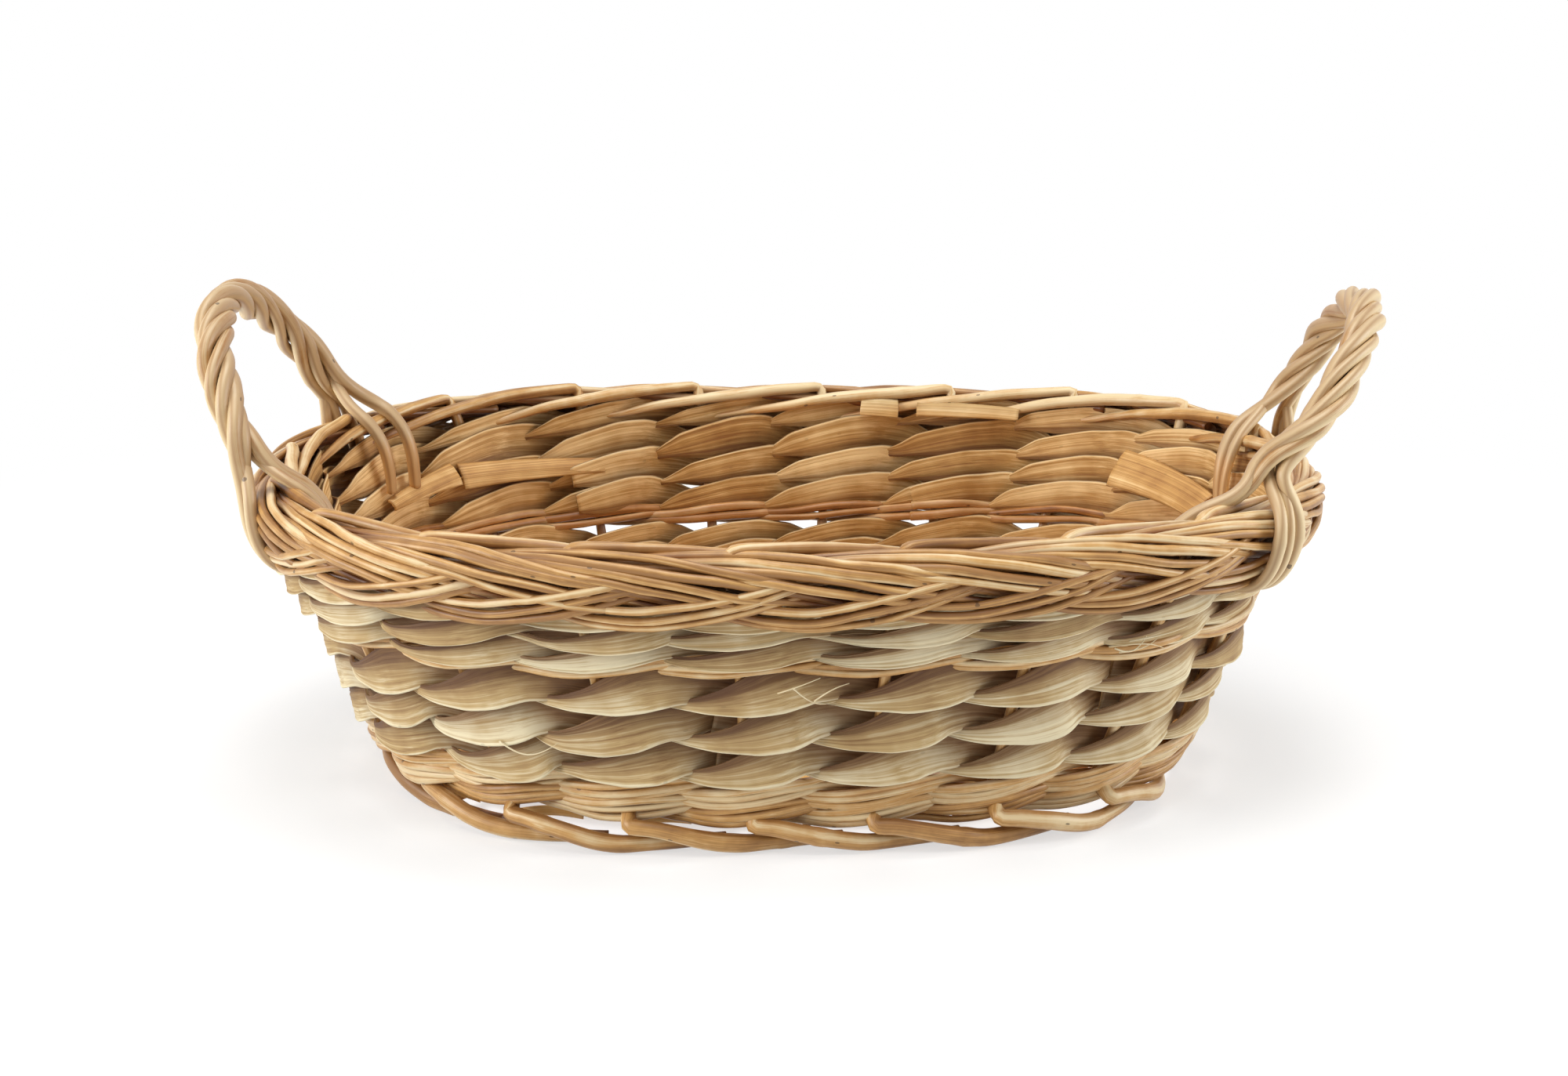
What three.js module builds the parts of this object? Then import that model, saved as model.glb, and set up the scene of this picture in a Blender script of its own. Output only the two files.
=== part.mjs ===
// An oval wicker bowl with two roped handles, built up piece by piece as a weaver makes it.
// Willow stakes turn under into the foot, stand up as the ribs of the wall and are plaited into
// the border. Twined pairs of leaf and willow strands fill the wall, and a stick base is threaded
// and twined inside the foot. Millimetres, Z up, the origin on the floor under the bowl's middle.
import * as THREE from "three";

// Outline of the line of stakes
const FOOT_LENGTH = 221; // along X, where the stakes meet the foot
const FOOT_WIDTH = 154;
const RIM_LENGTH = 284; // along X, at the top of the border
const RIM_WIDTH = 208;
const BOWL_HEIGHT = 86.5; // from the floor to the top of the border
const FLARE = 1.05; // 1 is a straight cone, more opens late
const SQUARENESS = 2.4; // 2 is an ellipse, more is boxier
const STAKES = 20;
const GAP = 0.3; // clearance between pieces that touch

// Stakes
const FOOT_ROD = 4.4; // butt end, in the foot roll
const WALL_ROD = 3.0; // where the rod stands as a rib
const TIP_ROD = 2.6; // thin end, at the end of the plait
const PLAIT_WIDTH = 5.6; // a stake and the rods beside it, lying flat in the border
const PLAIT_DEPTH = 11.5; // from the crown of the border down to where its rods cross
const PLAIT_STEEP = 8; // fall of a rod in the plait over one stake spacing
const FOOT_RUN = 1.75; // how far the butt runs along the foot, in stake spacings
const FOOT_RISE = 6; // from the butt on the floor up to the elbow where the stake turns upwards
const FOOT_TUCK = 6; // how far inwards the butt slips in one spacing
const FOOT_BULGE = 1.2;

// Twined rows, from the foot upwards
const LEAF_THICK = 1.8;
const BROAD_LEAF = 1.45; // height of a row in the lower wall, where one in the upper wall counts 1
const WILLOW_STRAND = 2.4;
const FIRST_ROW = 10.8; // underside of the lowest row
const OPEN_COURSE = 1.6; // daylight left below the willow row in mid wall
const LAP = 0.2; // how far a strand's end passes its stake, in stake spacings
const FIRST_START = 5; // stake at which the first strand starts, clear of the handles' legs
const ROW_STAGGER = 3; // stakes from the start of one strand to the start of the next

// Handles
const HANDLE_ROD = 3.8;
const HANDLE_RODS = 5; // in each rope
const HANDLE_SPAN = 89; // between the feet of the arch, along the rim
const HANDLE_RISE = 44; // from the crown of the border to the middle of the rope at its highest
const HANDLE_LEAN = 20; // how far the top of the arch stands out from its feet
const HANDLE_SHIFT = 16; // how far each handle sits round the rim from the bowl's long axis
const HANDLE_TURNS = 3;
const SPLIT_RISE = 13; // height above the crown at which the rope parts into its rods
const LEG_TAIL = 26; // how far the rods inside run down the wall below the crown

// Base
const BASE_STICK = 3.6;
const LONG_STICKS = 3;
const CROSS_STICKS = 5;
const CROSS_SPACING = 20; // between the cross sticks, at the middle of the base
const FAN = 0.5; // angle between the long sticks' tips, seen from the middle of the base
const BASE_LEAF = 6.6; // width of the flat leaf woven through the sticks
const BASE_LEAF_THICK = 1.4;
const BASE_ROUNDS = 2; // turns that each of the two weavers makes

const willow = new THREE.MeshStandardMaterial({ color: 0xcda467, roughness: 0.55, metalness: 0 });
const leaf = new THREE.MeshStandardMaterial({ color: 0xc3ad80, roughness: 0.75, metalness: 0 });
const baseWood = new THREE.MeshStandardMaterial({ color: 0xd6a95c, roughness: 0.6, metalness: 0 });

const bowl = new THREE.Group();
const addPiece = (name, geometry, material) => {
  const mesh = new THREE.Mesh(geometry, material);
  mesh.name = name;
  bowl.add(mesh);
};
const vec = (x, y, z) => new THREE.Vector3(x, y, z);
const lerp = THREE.MathUtils.lerp;

// the outline that everything follows

// Point of an oval with the given half axes, in the direction theta.
function oval(theta, halfLength, halfWidth) {
  const c = Math.cos(theta);
  const s = Math.sin(theta);
  const power = Math.abs(c / halfLength) ** SQUARENESS + Math.abs(s / halfWidth) ** SQUARENESS;
  const radius = power ** (-1 / SQUARENESS);
  return vec(radius * c, radius * s, 0);
}

// Half axes of the line of stakes at height z.
function halfAxes(z) {
  const rise = (Math.max(z, 0) / BOWL_HEIGHT) ** FLARE;
  return [lerp(FOOT_LENGTH, RIM_LENGTH, rise) / 2, lerp(FOOT_WIDTH, RIM_WIDTH, rise) / 2];
}

// Directions that share the perimeter at mid height evenly: u counts stakes, counter-clockwise.
const SAMPLES = 1440;
const midAxes = halfAxes(BOWL_HEIGHT / 2);
const reached = [0];
for (let i = 1; i <= SAMPLES; i++) {
  const before = oval(((i - 1) / SAMPLES) * 2 * Math.PI, ...midAxes);
  reached.push(reached[i - 1] + before.distanceTo(oval((i / SAMPLES) * 2 * Math.PI, ...midAxes)));
}
const PITCH = reached[SAMPLES] / STAKES;
function direction(u) {
  const turns = Math.floor((u + 0.5) / STAKES);
  const length = (u + 0.5 - turns * STAKES) * PITCH;
  let low = 0;
  let high = SAMPLES;
  while (high - low > 1) {
    const middle = (low + high) >> 1;
    if (reached[middle] <= length) low = middle;
    else high = middle;
  }
  const part = (length - reached[low]) / (reached[high] - reached[low]);
  return ((low + part) / SAMPLES + turns) * 2 * Math.PI;
}

// Point on the line of stakes.
function stakeLine(u, z) {
  return oval(direction(u), ...halfAxes(z)).setZ(z);
}

// Frame of the wall at a point: along the row, up the slope and square out of the wall.
function wallFrame(u, z) {
  const step = 0.05;
  const along = stakeLine(u + step, z).sub(stakeLine(u - step, z)).normalize();
  const up = stakeLine(u, z + 1).sub(stakeLine(u, Math.max(z - 1, 0))).normalize();
  const out = along.clone().cross(up).normalize();
  return { at: stakeLine(u, z), along, up, out };
}

// Point at distance p out from the wall, measured square to its slope.
function offWall(u, z, p) {
  const { at, out } = wallFrame(u, z);
  return at.addScaledVector(out, p);
}

// Point at distance p out from the line of stakes, measured level.
function offLevel(u, z, p) {
  const { at, along } = wallFrame(u, z);
  return at.addScaledVector(along.cross(vec(0, 0, 1)).normalize(), p);
}

// lofts

// Skin over a row of rings. Each station has a centre, two directions and two half sizes.
function loft(stations, sides, turn) {
  const positions = [];
  for (const { at, side, face, w, h } of stations) {
    for (let k = 0; k < sides; k++) {
      const angle = turn + (k / sides) * 2 * Math.PI;
      const point = at.clone().addScaledVector(side, w * Math.cos(angle));
      positions.push(...point.addScaledVector(face, h * Math.sin(angle)).toArray());
    }
  }
  const faces = [];
  const last = (stations.length - 1) * sides;
  for (let j = 0; j < last; j += sides) {
    for (let k = 0; k < sides; k++) {
      const next = (k + 1) % sides;
      faces.push(j + k, j + next, j + sides + next, j + k, j + sides + next, j + sides + k);
    }
  }
  for (let k = 1; k < sides - 1; k++) faces.push(0, k + 1, k, last, last + k, last + k + 1);
  const geometry = new THREE.BufferGeometry();
  geometry.setAttribute("position", new THREE.Float32BufferAttribute(positions, 3));
  geometry.setIndex(faces);
  geometry.computeVertexNormals();
  return geometry;
}

// A rod through the stations, one flat side turned away from each station's face.
function rod(stations, sides) {
  const rings = stations.map((station, i) => {
    const before = stations[Math.max(i - 1, 0)].at;
    const after = stations[Math.min(i + 1, stations.length - 1)].at;
    const heading = after.clone().sub(before).normalize();
    const face = station.face.clone().addScaledVector(heading, -station.face.dot(heading)).normalize();
    return { ...station, face, side: face.clone().cross(heading) };
  });
  return loft(rings, sides, -Math.PI / 2 + Math.PI / sides);
}
const STAKE_SIDES = 5;
const FLAT = Math.cos(Math.PI / STAKE_SIDES); // from a stake's axis to its flat side, for a radius of 1

// twined rows of the wall, which share the height below the border

const HALF_PLAIT = WALL_ROD / 2;
const CROWN = BOWL_HEIGHT - HALF_PLAIT; // rod lying over the top of a stake
const ROWS_TOP = CROWN - HALF_PLAIT * 4 - GAP * 2;
const WILLOW_ROWS = 3;
const BROAD_ROWS = 3;
const NARROW_ROWS = 4;
const ROW_COUNT = WILLOW_ROWS + BROAD_ROWS + NARROW_ROWS;
const LEAF_HEIGHT =
  ROWS_TOP - FIRST_ROW - OPEN_COURSE - ROW_COUNT * GAP - WILLOW_ROWS * WILLOW_STRAND * 2;
const LEAF_LOW = LEAF_HEIGHT / (NARROW_ROWS + BROAD_ROWS * BROAD_LEAF);
const LEAF_TALL = LEAF_LOW * BROAD_LEAF;

// Sizes of a twined strand at a stake and where it crosses its partner, as half sizes.
const leafRow = (tall) => ({
  material: leaf,
  tall,
  atStake: { w: tall / 2, h: LEAF_THICK / 2 },
  atCross: { w: tall * 0.21, h: LEAF_THICK * 0.6 },
});
const willowRow = {
  material: willow,
  tall: WILLOW_STRAND * 2,
  atStake: { w: WILLOW_STRAND / 2, h: WILLOW_STRAND / 2 },
  atCross: { w: WILLOW_STRAND * 0.46, h: WILLOW_STRAND * 0.46 },
};
const wallRows = [
  ["willow_foot_row_1", willowRow, 0],
  ["willow_foot_row_2", willowRow, 0],
  ["leaf_row_1", leafRow(LEAF_TALL), 0],
  ["leaf_row_2", leafRow(LEAF_TALL), 0],
  ["leaf_row_3", leafRow(LEAF_TALL), 0],
  ["willow_middle_row", willowRow, OPEN_COURSE],
  ["leaf_row_4", leafRow(LEAF_LOW), 0],
  ["leaf_row_5", leafRow(LEAF_LOW), 0],
  ["leaf_row_6", leafRow(LEAF_LOW), 0],
  ["leaf_row_7", leafRow(LEAF_LOW), 0],
];

// One strand of a twined pair. It passes outside every second stake and inside the others, and
// over or under its partner half way between. Its ends lap each other inside the first stake.
// The frame function gives the weave's own directions at u; spokes is the count of one round.
function twinedStrand(frame, row, spokeHalf, start, end, lapAt) {
  const reach = spokeHalf + GAP + row.atStake.h;
  const swing = row.atCross.w + GAP / 2;
  const places = [start - LAP];
  for (let u = start; u < end - 0.25; u += 0.5) places.push(u);
  places.push(end - LAP, end + LAP);
  const stations = places.map((u) => {
    const { at, up, out } = frame(u);
    const angle = Math.PI * (u - start + 1);
    const lapped = lapAt && u > end - 0.5 ? 2 * row.atStake.h + GAP : 0;
    const flat = Math.abs(Math.cos(angle));
    return {
      at: at.addScaledVector(out, reach * Math.cos(angle) - lapped).addScaledVector(up, swing * Math.sin(angle)),
      side: up,
      face: out,
      w: lerp(row.atCross.w, row.atStake.w, flat),
      h: lerp(row.atCross.h, row.atStake.h, flat),
    };
  });
  return loft(stations, 4, 0);
}

let rowTop = FIRST_ROW;
wallRows.forEach(([name, row, open], index) => {
  const middle = rowTop + open + row.tall / 2;
  rowTop = middle + row.tall / 2 + GAP;
  for (let strand = 0; strand < 2; strand++) {
    const start = (index + strand) * ROW_STAGGER + FIRST_START;
    const geometry = twinedStrand(
      (u) => wallFrame(u, middle), row, WALL_ROD / 2, start, start + STAKES, true);
    addPiece(`${name}_strand_${strand + 1}`, geometry, row.material);
  }
});
const ROW_REACH = WALL_ROD / 2 + GAP + LEAF_THICK; // how far the leaf stands off the stakes

// stakes, each one rod from the foot roll to the end of the plait

// Height and offset of the butt, t stake spacings along the foot roll.
function footRoll(t) {
  const low = (FOOT_ROD / 2) * FLAT;
  if (t > 1) return { z: low, p: (1 - t) * FOOT_TUCK };
  const lift = Math.cos((t * Math.PI) / 2) ** 2;
  return { z: low + FOOT_RISE * lift, p: FOOT_BULGE * Math.sin(t * Math.PI) };
}

// The plait: the rod leans over the crown from inside to outside, goes down behind one neighbour,
// turns at the bottom, and comes up over one neighbour and under the next.
const UNDER = ROW_REACH + GAP + HALF_PLAIT; // rod against the wall's leaf
const OVER = UNDER + WALL_ROD + GAP; // rod lying on another one
const CROSSING = CROWN - PLAIT_DEPTH;
const INSIDE = -1.2 * WALL_ROD; // rod leaning against the inner edge of the crown
const plaitKeys = [
  [0.25, CROWN - WALL_ROD * 0.63, INSIDE * 0.92], [0.5, CROWN - WALL_ROD * 0.27, INSIDE],
  [1, CROWN, 0], [1.28, CROWN - WALL_ROD * 0.3, UNDER * 0.6], [1.5, CROWN - WALL_ROD * 1.07, UNDER * 1.1],
  [1.75, CROSSING + PLAIT_STEEP * 0.875, OVER * 0.94], [2.25, CROSSING + PLAIT_STEEP * 0.375, OVER],
  [2.5, CROSSING + PLAIT_STEEP * 0.125, UNDER], [2.75, CROSSING - PLAIT_STEEP * 0.125, UNDER],
  [3, CROSSING - PLAIT_STEEP * 0.3, UNDER * 1.15], [3.25, CROSSING - PLAIT_STEEP * 0.3, OVER * 0.9],
  [3.5, CROSSING - PLAIT_STEEP * 0.125, OVER], [3.75, CROSSING + PLAIT_STEEP * 0.125, OVER],
  [4, CROSSING + PLAIT_STEEP * 0.375, UNDER], [4.25, CROSSING + PLAIT_STEEP * 0.625, UNDER],
];
const CORE = { z: CROWN - PLAIT_DEPTH * 0.7, p: 0 }; // the rods wind round this line

function stake(i) {
  const stations = [];
  const footHalf = FOOT_ROD / 2;
  for (let t = FOOT_RUN; t > 0.1; t -= FOOT_RUN / 4) {
    const { z, p } = footRoll(t);
    stations.push({ at: offLevel(i + t, z, p), face: vec(0, 0, 1), w: footHalf, h: footHalf });
  }
  const elbow = footRoll(0);
  const { along } = wallFrame(i, elbow.z);
  const lift = vec(0, 0, 1).add(along).normalize();
  stations.push({ at: offLevel(i + 0.04, elbow.z, 0), face: lift, w: footHalf, h: footHalf });
  const WALL_STEPS = 4;
  const wallStart = FIRST_ROW + 1;
  for (let k = 0; k <= WALL_STEPS; k++) {
    const z = lerp(wallStart, ROWS_TOP + HALF_PLAIT, k / WALL_STEPS);
    stations.push({ at: offWall(i, z, 0), face: along, w: HALF_PLAIT, h: HALF_PLAIT });
  }
  plaitKeys.forEach(([t, z, p]) => {
    const { up, out } = wallFrame(i + t, z);
    const face = up.multiplyScalar(CORE.z - z).addScaledVector(out, CORE.p - p);
    const taper = t / 4.25;
    stations.push({
      at: offWall(i + t, z, p),
      face,
      w: lerp(PLAIT_WIDTH, TIP_ROD, taper) / 2,
      h: lerp(WALL_ROD, TIP_ROD, taper) / 2,
    });
  });
  return rod(stations, STAKE_SIDES);
}
for (let i = 0; i < STAKES; i++) {
  addPiece(`stake_${String(i + 1).padStart(2, "0")}`, stake(i), willow);
}

// handles, each a rope of rods that part at the rim

// Level offsets from the wall of the rods that run down outside the plait and inside the bowl.
const OUTER_LEG = OVER + HALF_PLAIT + GAP + HANDLE_ROD / 2;
const INNER_LEG = INSIDE - HALF_PLAIT - GAP - HANDLE_ROD / 2;
const TAIL_LEG = -(ROW_REACH + GAP + HANDLE_ROD / 2);
const HOOK = CROSSING - PLAIT_STEEP * 0.3 - PLAIT_WIDTH / 2 - GAP - HANDLE_ROD / 2; // height of the tuck
const SIDE_STEP = HANDLE_ROD + GAP * 1.7; // between rods lying side by side in a leg
const ROPE_RADIUS = (HANDLE_ROD + GAP * 1.7) / 2 / Math.sin(Math.PI / HANDLE_RODS);
const RIM_PITCH = stakeLine(0, CROWN).distanceTo(stakeLine(1, CROWN));

// Where a rod belongs in a leg, by its place round the rope: place 0 faces out of the bowl.
const outerPlaces = { 4: -1, 0: 0, 1: 1 };
const innerPlaces = { 3: -0.5, 2: 0.5 };

// Stations of one rod down a leg, from under the rope to its end. The leg stands at u, and sense
// is 1 where the next place round the rope lies further along the rim, and -1 on the other leg.
function legStations(u, place, sense) {
  const outside = place in outerPlaces;
  const shift = (outside ? outerPlaces[place] : innerPlaces[place]) * sense * SIDE_STEP;
  const keys = outside
    ? [[CROWN - WALL_ROD, OUTER_LEG], [HOOK + HANDLE_ROD * 1.3, OUTER_LEG],
      [HOOK + HANDLE_ROD * 0.26, lerp(OUTER_LEG, ROW_REACH, 0.16)],
      [HOOK, lerp(OUTER_LEG, ROW_REACH, 0.48)], [HOOK, ROW_REACH + GAP * 2]]
    : [[CROWN + HANDLE_ROD * 0.9, INNER_LEG], [CROWN - LEG_TAIL * 0.2, INNER_LEG],
      [CROWN - LEG_TAIL * 0.46, TAIL_LEG], [CROWN - LEG_TAIL, TAIL_LEG]];
  return keys.map(([z, p]) => {
    const where = u + shift / RIM_PITCH;
    const { along } = wallFrame(where, z);
    return { at: offWall(where, z, p), face: along };
  });
}

// The middle line of the rope: half an ellipse that stands on the crown and leans out, where the
// angle s runs round it from 0 at one foot to pi at the other.
function ropeFrame(middle, s) {
  const feet = [-1, 1].map((side) => {
    const u = middle + (side * HANDLE_SPAN) / 2 / RIM_PITCH;
    return offLevel(u, CROWN, (OUTER_LEG + INNER_LEG) / 2);
  });
  const centre = feet[0].clone().add(feet[1]).multiplyScalar(0.5);
  const half = feet[1].clone().sub(feet[0]).multiplyScalar(0.5);
  const lean = half.clone().normalize().cross(vec(0, 0, 1)).multiplyScalar(HANDLE_LEAN);
  const at = centre.addScaledVector(half, -Math.cos(s));
  at.addScaledVector(lean, Math.sin(s)).z += HANDLE_RISE * Math.sin(s);
  const spine = lean.clone().setZ(HANDLE_RISE).normalize();
  const flat = half.clone().normalize();
  const heading = flat.clone().multiplyScalar(Math.sin(s) * half.length());
  heading.addScaledVector(spine, Math.cos(s) * Math.hypot(HANDLE_RISE, HANDLE_LEAN)).normalize();
  const across = spine.clone().cross(flat).multiplyScalar(-1);
  return { at, across, away: across.clone().cross(heading) };
}
const SPLIT_ANGLE = Math.asin(SPLIT_RISE / HANDLE_RISE); // where the rope begins, from the foot

function handleRod(middle, k) {
  const stations = [];
  const legs = [-1, 1].map((side) => middle + (side * HANDLE_SPAN) / 2 / RIM_PITCH);
  const turnPlaces = Math.round(HANDLE_TURNS * HANDLE_RODS);
  const endPlace = (k + turnPlaces) % HANDLE_RODS;
  stations.push(...legStations(legs[0], k, 1).reverse());
  const ROPE_STEPS = Math.round(HANDLE_TURNS * 6);
  for (let j = 0; j <= ROPE_STEPS; j++) {
    const part = j / ROPE_STEPS;
    const { at, across, away } = ropeFrame(middle, lerp(SPLIT_ANGLE, Math.PI - SPLIT_ANGLE, part));
    const angle = (-(k + part * turnPlaces) / HANDLE_RODS) * 2 * Math.PI;
    const face = across.multiplyScalar(Math.cos(angle)).addScaledVector(away, Math.sin(angle));
    stations.push({ at: at.addScaledVector(face, ROPE_RADIUS), face });
  }
  stations.push(...legStations(legs[1], endPlace, -1));
  const half = HANDLE_ROD / 2;
  return rod(stations.map((station) => ({ ...station, w: half, h: half })), 4);
}
const FAR_END = STAKES / 2;
["right", "left"].forEach((end, side) => {
  const middle = -0.5 + side * FAR_END - HANDLE_SHIFT / RIM_PITCH;
  for (let k = 0; k < HANDLE_RODS; k++) {
    addPiece(`${end}_handle_rod_${k + 1}`, handleRod(middle, k), willow);
  }
});

// base, two leaf weavers over and under a cross of sticks that rests on the foot roll

const BASE_LEVEL = FOOT_ROD * FLAT + GAP + BASE_STICK / 2 + 0.4;
const STICK_STEP = BASE_STICK + GAP;
const EDGE_INSET = WALL_ROD / 2 + GAP + 1; // from the line of stakes to the ends of the sticks
const BUTT_REACH = (FOOT_RUN - 1) * FOOT_TUCK + FOOT_ROD / 2; // from that line to the butts' far side
const CROSS_RAMP = 4; // length over which a cross stick climbs onto the long sticks
const SPOKES = 2 * (LONG_STICKS + CROSS_STICKS);
const edgeAxes = halfAxes(BASE_LEVEL).map((half) => half - EDGE_INSET);
const CROSS_END = ((CROSS_STICKS - 1) / 2) * CROSS_SPACING;

// The spokes in turn round the base, each by its inner end beside the cross and its outer end.
function spokeEnds(k) {
  const turn = k % SPOKES;
  const half = turn >= SPOKES / 2 ? -1 : 1;
  const j = turn % (SPOKES / 2);
  if (j < LONG_STICKS) {
    const row = j - (LONG_STICKS - 1) / 2;
    const tip = oval(row * FAN, ...edgeAxes);
    return [vec(half * (CROSS_END + CROSS_SPACING / 2), half * row * STICK_STEP, 0), tip.multiplyScalar(half)];
  }
  const x = CROSS_END - (j - LONG_STICKS) * CROSS_SPACING;
  const y = edgeAxes[1] * (1 - Math.abs(x / edgeAxes[0]) ** SQUARENESS) ** (1 / SQUARENESS);
  const hub = (LONG_STICKS / 2) * STICK_STEP + BASE_STICK;
  return [vec(half * x, half * hub, 0), vec(half * x, half * y, 0)];
}

function straightStick(points) {
  const half = BASE_STICK / 2;
  return rod(points.map((at) => ({ at, face: vec(0, 0, 1), w: half, h: half })), STICK_SIDES);
}
const STICK_SIDES = 6;
for (let j = 0; j < LONG_STICKS; j++) {
  const right = spokeEnds(j);
  const left = spokeEnds(SPOKES / 2 + LONG_STICKS - 1 - j);
  const points = [left[1], left[0], right[0], right[1]].map((point) => point.setZ(BASE_LEVEL));
  addPiece(`base_long_stick_${j + 1}`, straightStick(points), baseWood);
}
for (let j = 0; j < CROSS_STICKS; j++) {
  const back = spokeEnds(LONG_STICKS + j);
  const front = spokeEnds(SPOKES - 1 - j);
  const over = BASE_LEVEL + STICK_STEP;
  const points = [front[1], front[0], front[0].clone(), back[0].clone(), back[0], back[1]];
  points[1].y -= CROSS_RAMP;
  points[4].y += CROSS_RAMP;
  points.forEach((point, i) => point.setZ(i === 2 || i === 3 ? over : BASE_LEVEL));
  addPiece(`base_cross_stick_${j + 1}`, straightStick(points), baseWood);
}

// A weaver spirals outwards. It passes over one spoke and under the next, and the other weaver
// follows it round half a lane further out, under and over.
const REACH = BASE_STICK / 2 + GAP + BASE_LEAF_THICK / 2;
function baseWeaver(strand) {
  const stations = [];
  const lanes = BASE_ROUNDS * 2;
  for (let k = 0; k <= BASE_ROUNDS * SPOKES; k++) {
    const [inner, outer] = spokeEnds(k);
    const lane = (k / SPOKES) * 2 + strand + 0.5;
    const span = outer.clone().sub(inner);
    const first = (BASE_LEAF / 2 + 1) / span.length();
    const last = 1 - (BASE_LEAF / 2 + 1 + BUTT_REACH - EDGE_INSET) / span.length();
    const at = inner.addScaledVector(span, lerp(first, last, lane / (lanes + 2)));
    const overUnder = (k + strand) % 2 ? -1 : 1;
    at.z = BASE_LEVEL + overUnder * REACH;
    const before = spokeEnds(k + SPOKES - 1);
    const after = spokeEnds(k + 1);
    const heading = after[1].add(after[0]).sub(before[1]).sub(before[0]).normalize();
    const side = vec(-heading.y, heading.x, 0);
    stations.push({ at, side, face: vec(0, 0, 1), w: BASE_LEAF / 2, h: BASE_LEAF_THICK / 2 });
  }
  return loft(stations, 4, 0);
}
for (let strand = 0; strand < 2; strand++) {
  addPiece(`base_leaf_weaver_${strand + 1}`, baseWeaver(strand), leaf);
}

export default bowl;
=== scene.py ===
"""Dresses an oval wicker bowl with two rope handles, rod by rod and leaf by leaf.

Every rod, leaf and stick is a tube or a ribbon swept along a path that is worked out from the bowl's
oval wall. Lengths in this file are millimetres and are turned into metres where a mesh is written.
"""

import sys

import logging
import math
from dataclasses import dataclass, field
from enum import Enum
from functools import cached_property

import bpy
import numpy as np
from mathutils import Matrix, Vector

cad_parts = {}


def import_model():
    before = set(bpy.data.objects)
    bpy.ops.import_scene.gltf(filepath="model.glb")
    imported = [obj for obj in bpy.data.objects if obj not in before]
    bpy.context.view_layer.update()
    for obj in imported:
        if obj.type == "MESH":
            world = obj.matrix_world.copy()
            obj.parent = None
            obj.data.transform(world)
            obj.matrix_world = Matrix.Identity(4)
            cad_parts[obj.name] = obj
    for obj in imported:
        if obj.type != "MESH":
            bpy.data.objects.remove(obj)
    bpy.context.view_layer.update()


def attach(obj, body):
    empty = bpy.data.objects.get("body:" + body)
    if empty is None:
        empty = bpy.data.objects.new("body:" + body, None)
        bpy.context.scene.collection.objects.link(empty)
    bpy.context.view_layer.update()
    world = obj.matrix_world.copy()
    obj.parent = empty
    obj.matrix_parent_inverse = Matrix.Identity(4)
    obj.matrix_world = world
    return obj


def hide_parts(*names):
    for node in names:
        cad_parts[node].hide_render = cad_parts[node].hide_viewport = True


Array = np.ndarray
Socket = bpy.types.NodeSocket
MM = 0.001
TURN = 2 * math.pi
UP = np.array([0.0, 0.0, 1.0])
# About the distance between two stakes, by which a stake count is read as a distance
STAKE_GAP = 40.0
log = logging.getLogger("wicker_bowl")


class Slot(Enum):
    """The record's material slots."""

    WILLOW = "willow"
    LEAF = "leaf"
    BASE = "base_willow"


# Curves and numbers


def unit(vectors: Array) -> Array:
    """Scales each vector of an array to length one."""
    return vectors / np.maximum(np.linalg.norm(vectors, axis=-1, keepdims=True), 1e-9)


def pchip(x: Array, y: Array, at: Array) -> Array:
    """Runs a monotone cubic through keys, so that it never overshoots one.

    The slope at an inner key is the weighted harmonic mean of the slopes on its two sides, and zero
    where they differ in sign.

    Args:
        x: Rising key positions.
        y: Key values.
        at: Where the curve is read.

    Returns:
        The curve's values.
    """
    gap = np.diff(x)
    rise = np.diff(y) / gap
    slope = np.zeros_like(y)
    near = 2 * gap[1:] + gap[:-1]
    far = gap[1:] + 2 * gap[:-1]
    same = rise[:-1] * rise[1:] > 0
    safe_left = np.where(same, rise[:-1], 1)
    safe_right = np.where(same, rise[1:], 1)
    slope[1:-1] = np.where(same, (near + far) / (near / safe_left + far / safe_right), 0)
    slope[0], slope[-1] = rise[0], rise[-1]
    k = np.clip(np.searchsorted(x, at, side="right") - 1, 0, len(gap) - 1)
    t = (at - x[k]) / gap[k]
    start = y[k] * (1 + 2 * t) * (1 - t) ** 2 + slope[k] * gap[k] * t * (1 - t) ** 2
    end = y[k + 1] * t**2 * (3 - 2 * t) + slope[k + 1] * gap[k] * t**2 * (t - 1)
    return start + end


def travelled(points: Array) -> Array:
    """Gives the distance walked along a row of points up to each of them."""
    return np.concatenate([[0.0], np.cumsum(np.linalg.norm(np.diff(points, axis=0), axis=1))])


def evened(points: Array, step: float) -> tuple[Array, Array]:
    """Runs a smooth line through points and reads it at even distances.

    Args:
        points: Points, one per row.
        step: About the distance between the points that are read.

    Returns:
        The distances and the points at them.
    """
    walked = travelled(points)
    even = np.linspace(0, walked[-1], int(walked[-1] / step))
    return even, np.stack([pchip(walked, points[:, axis], even) for axis in range(3)], axis=1)


def eased(share: Array) -> Array:
    """Eases a share that runs from 0 to 1, as share^2 (3 - 2 share)."""
    return share * share * (3 - 2 * share)


def between(pair: tuple[float, float], share: Array) -> Array:
    """Gives the values at the given shares of the way from a pair's first value to its second."""
    return pair[0] + (pair[1] - pair[0]) * share


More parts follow.
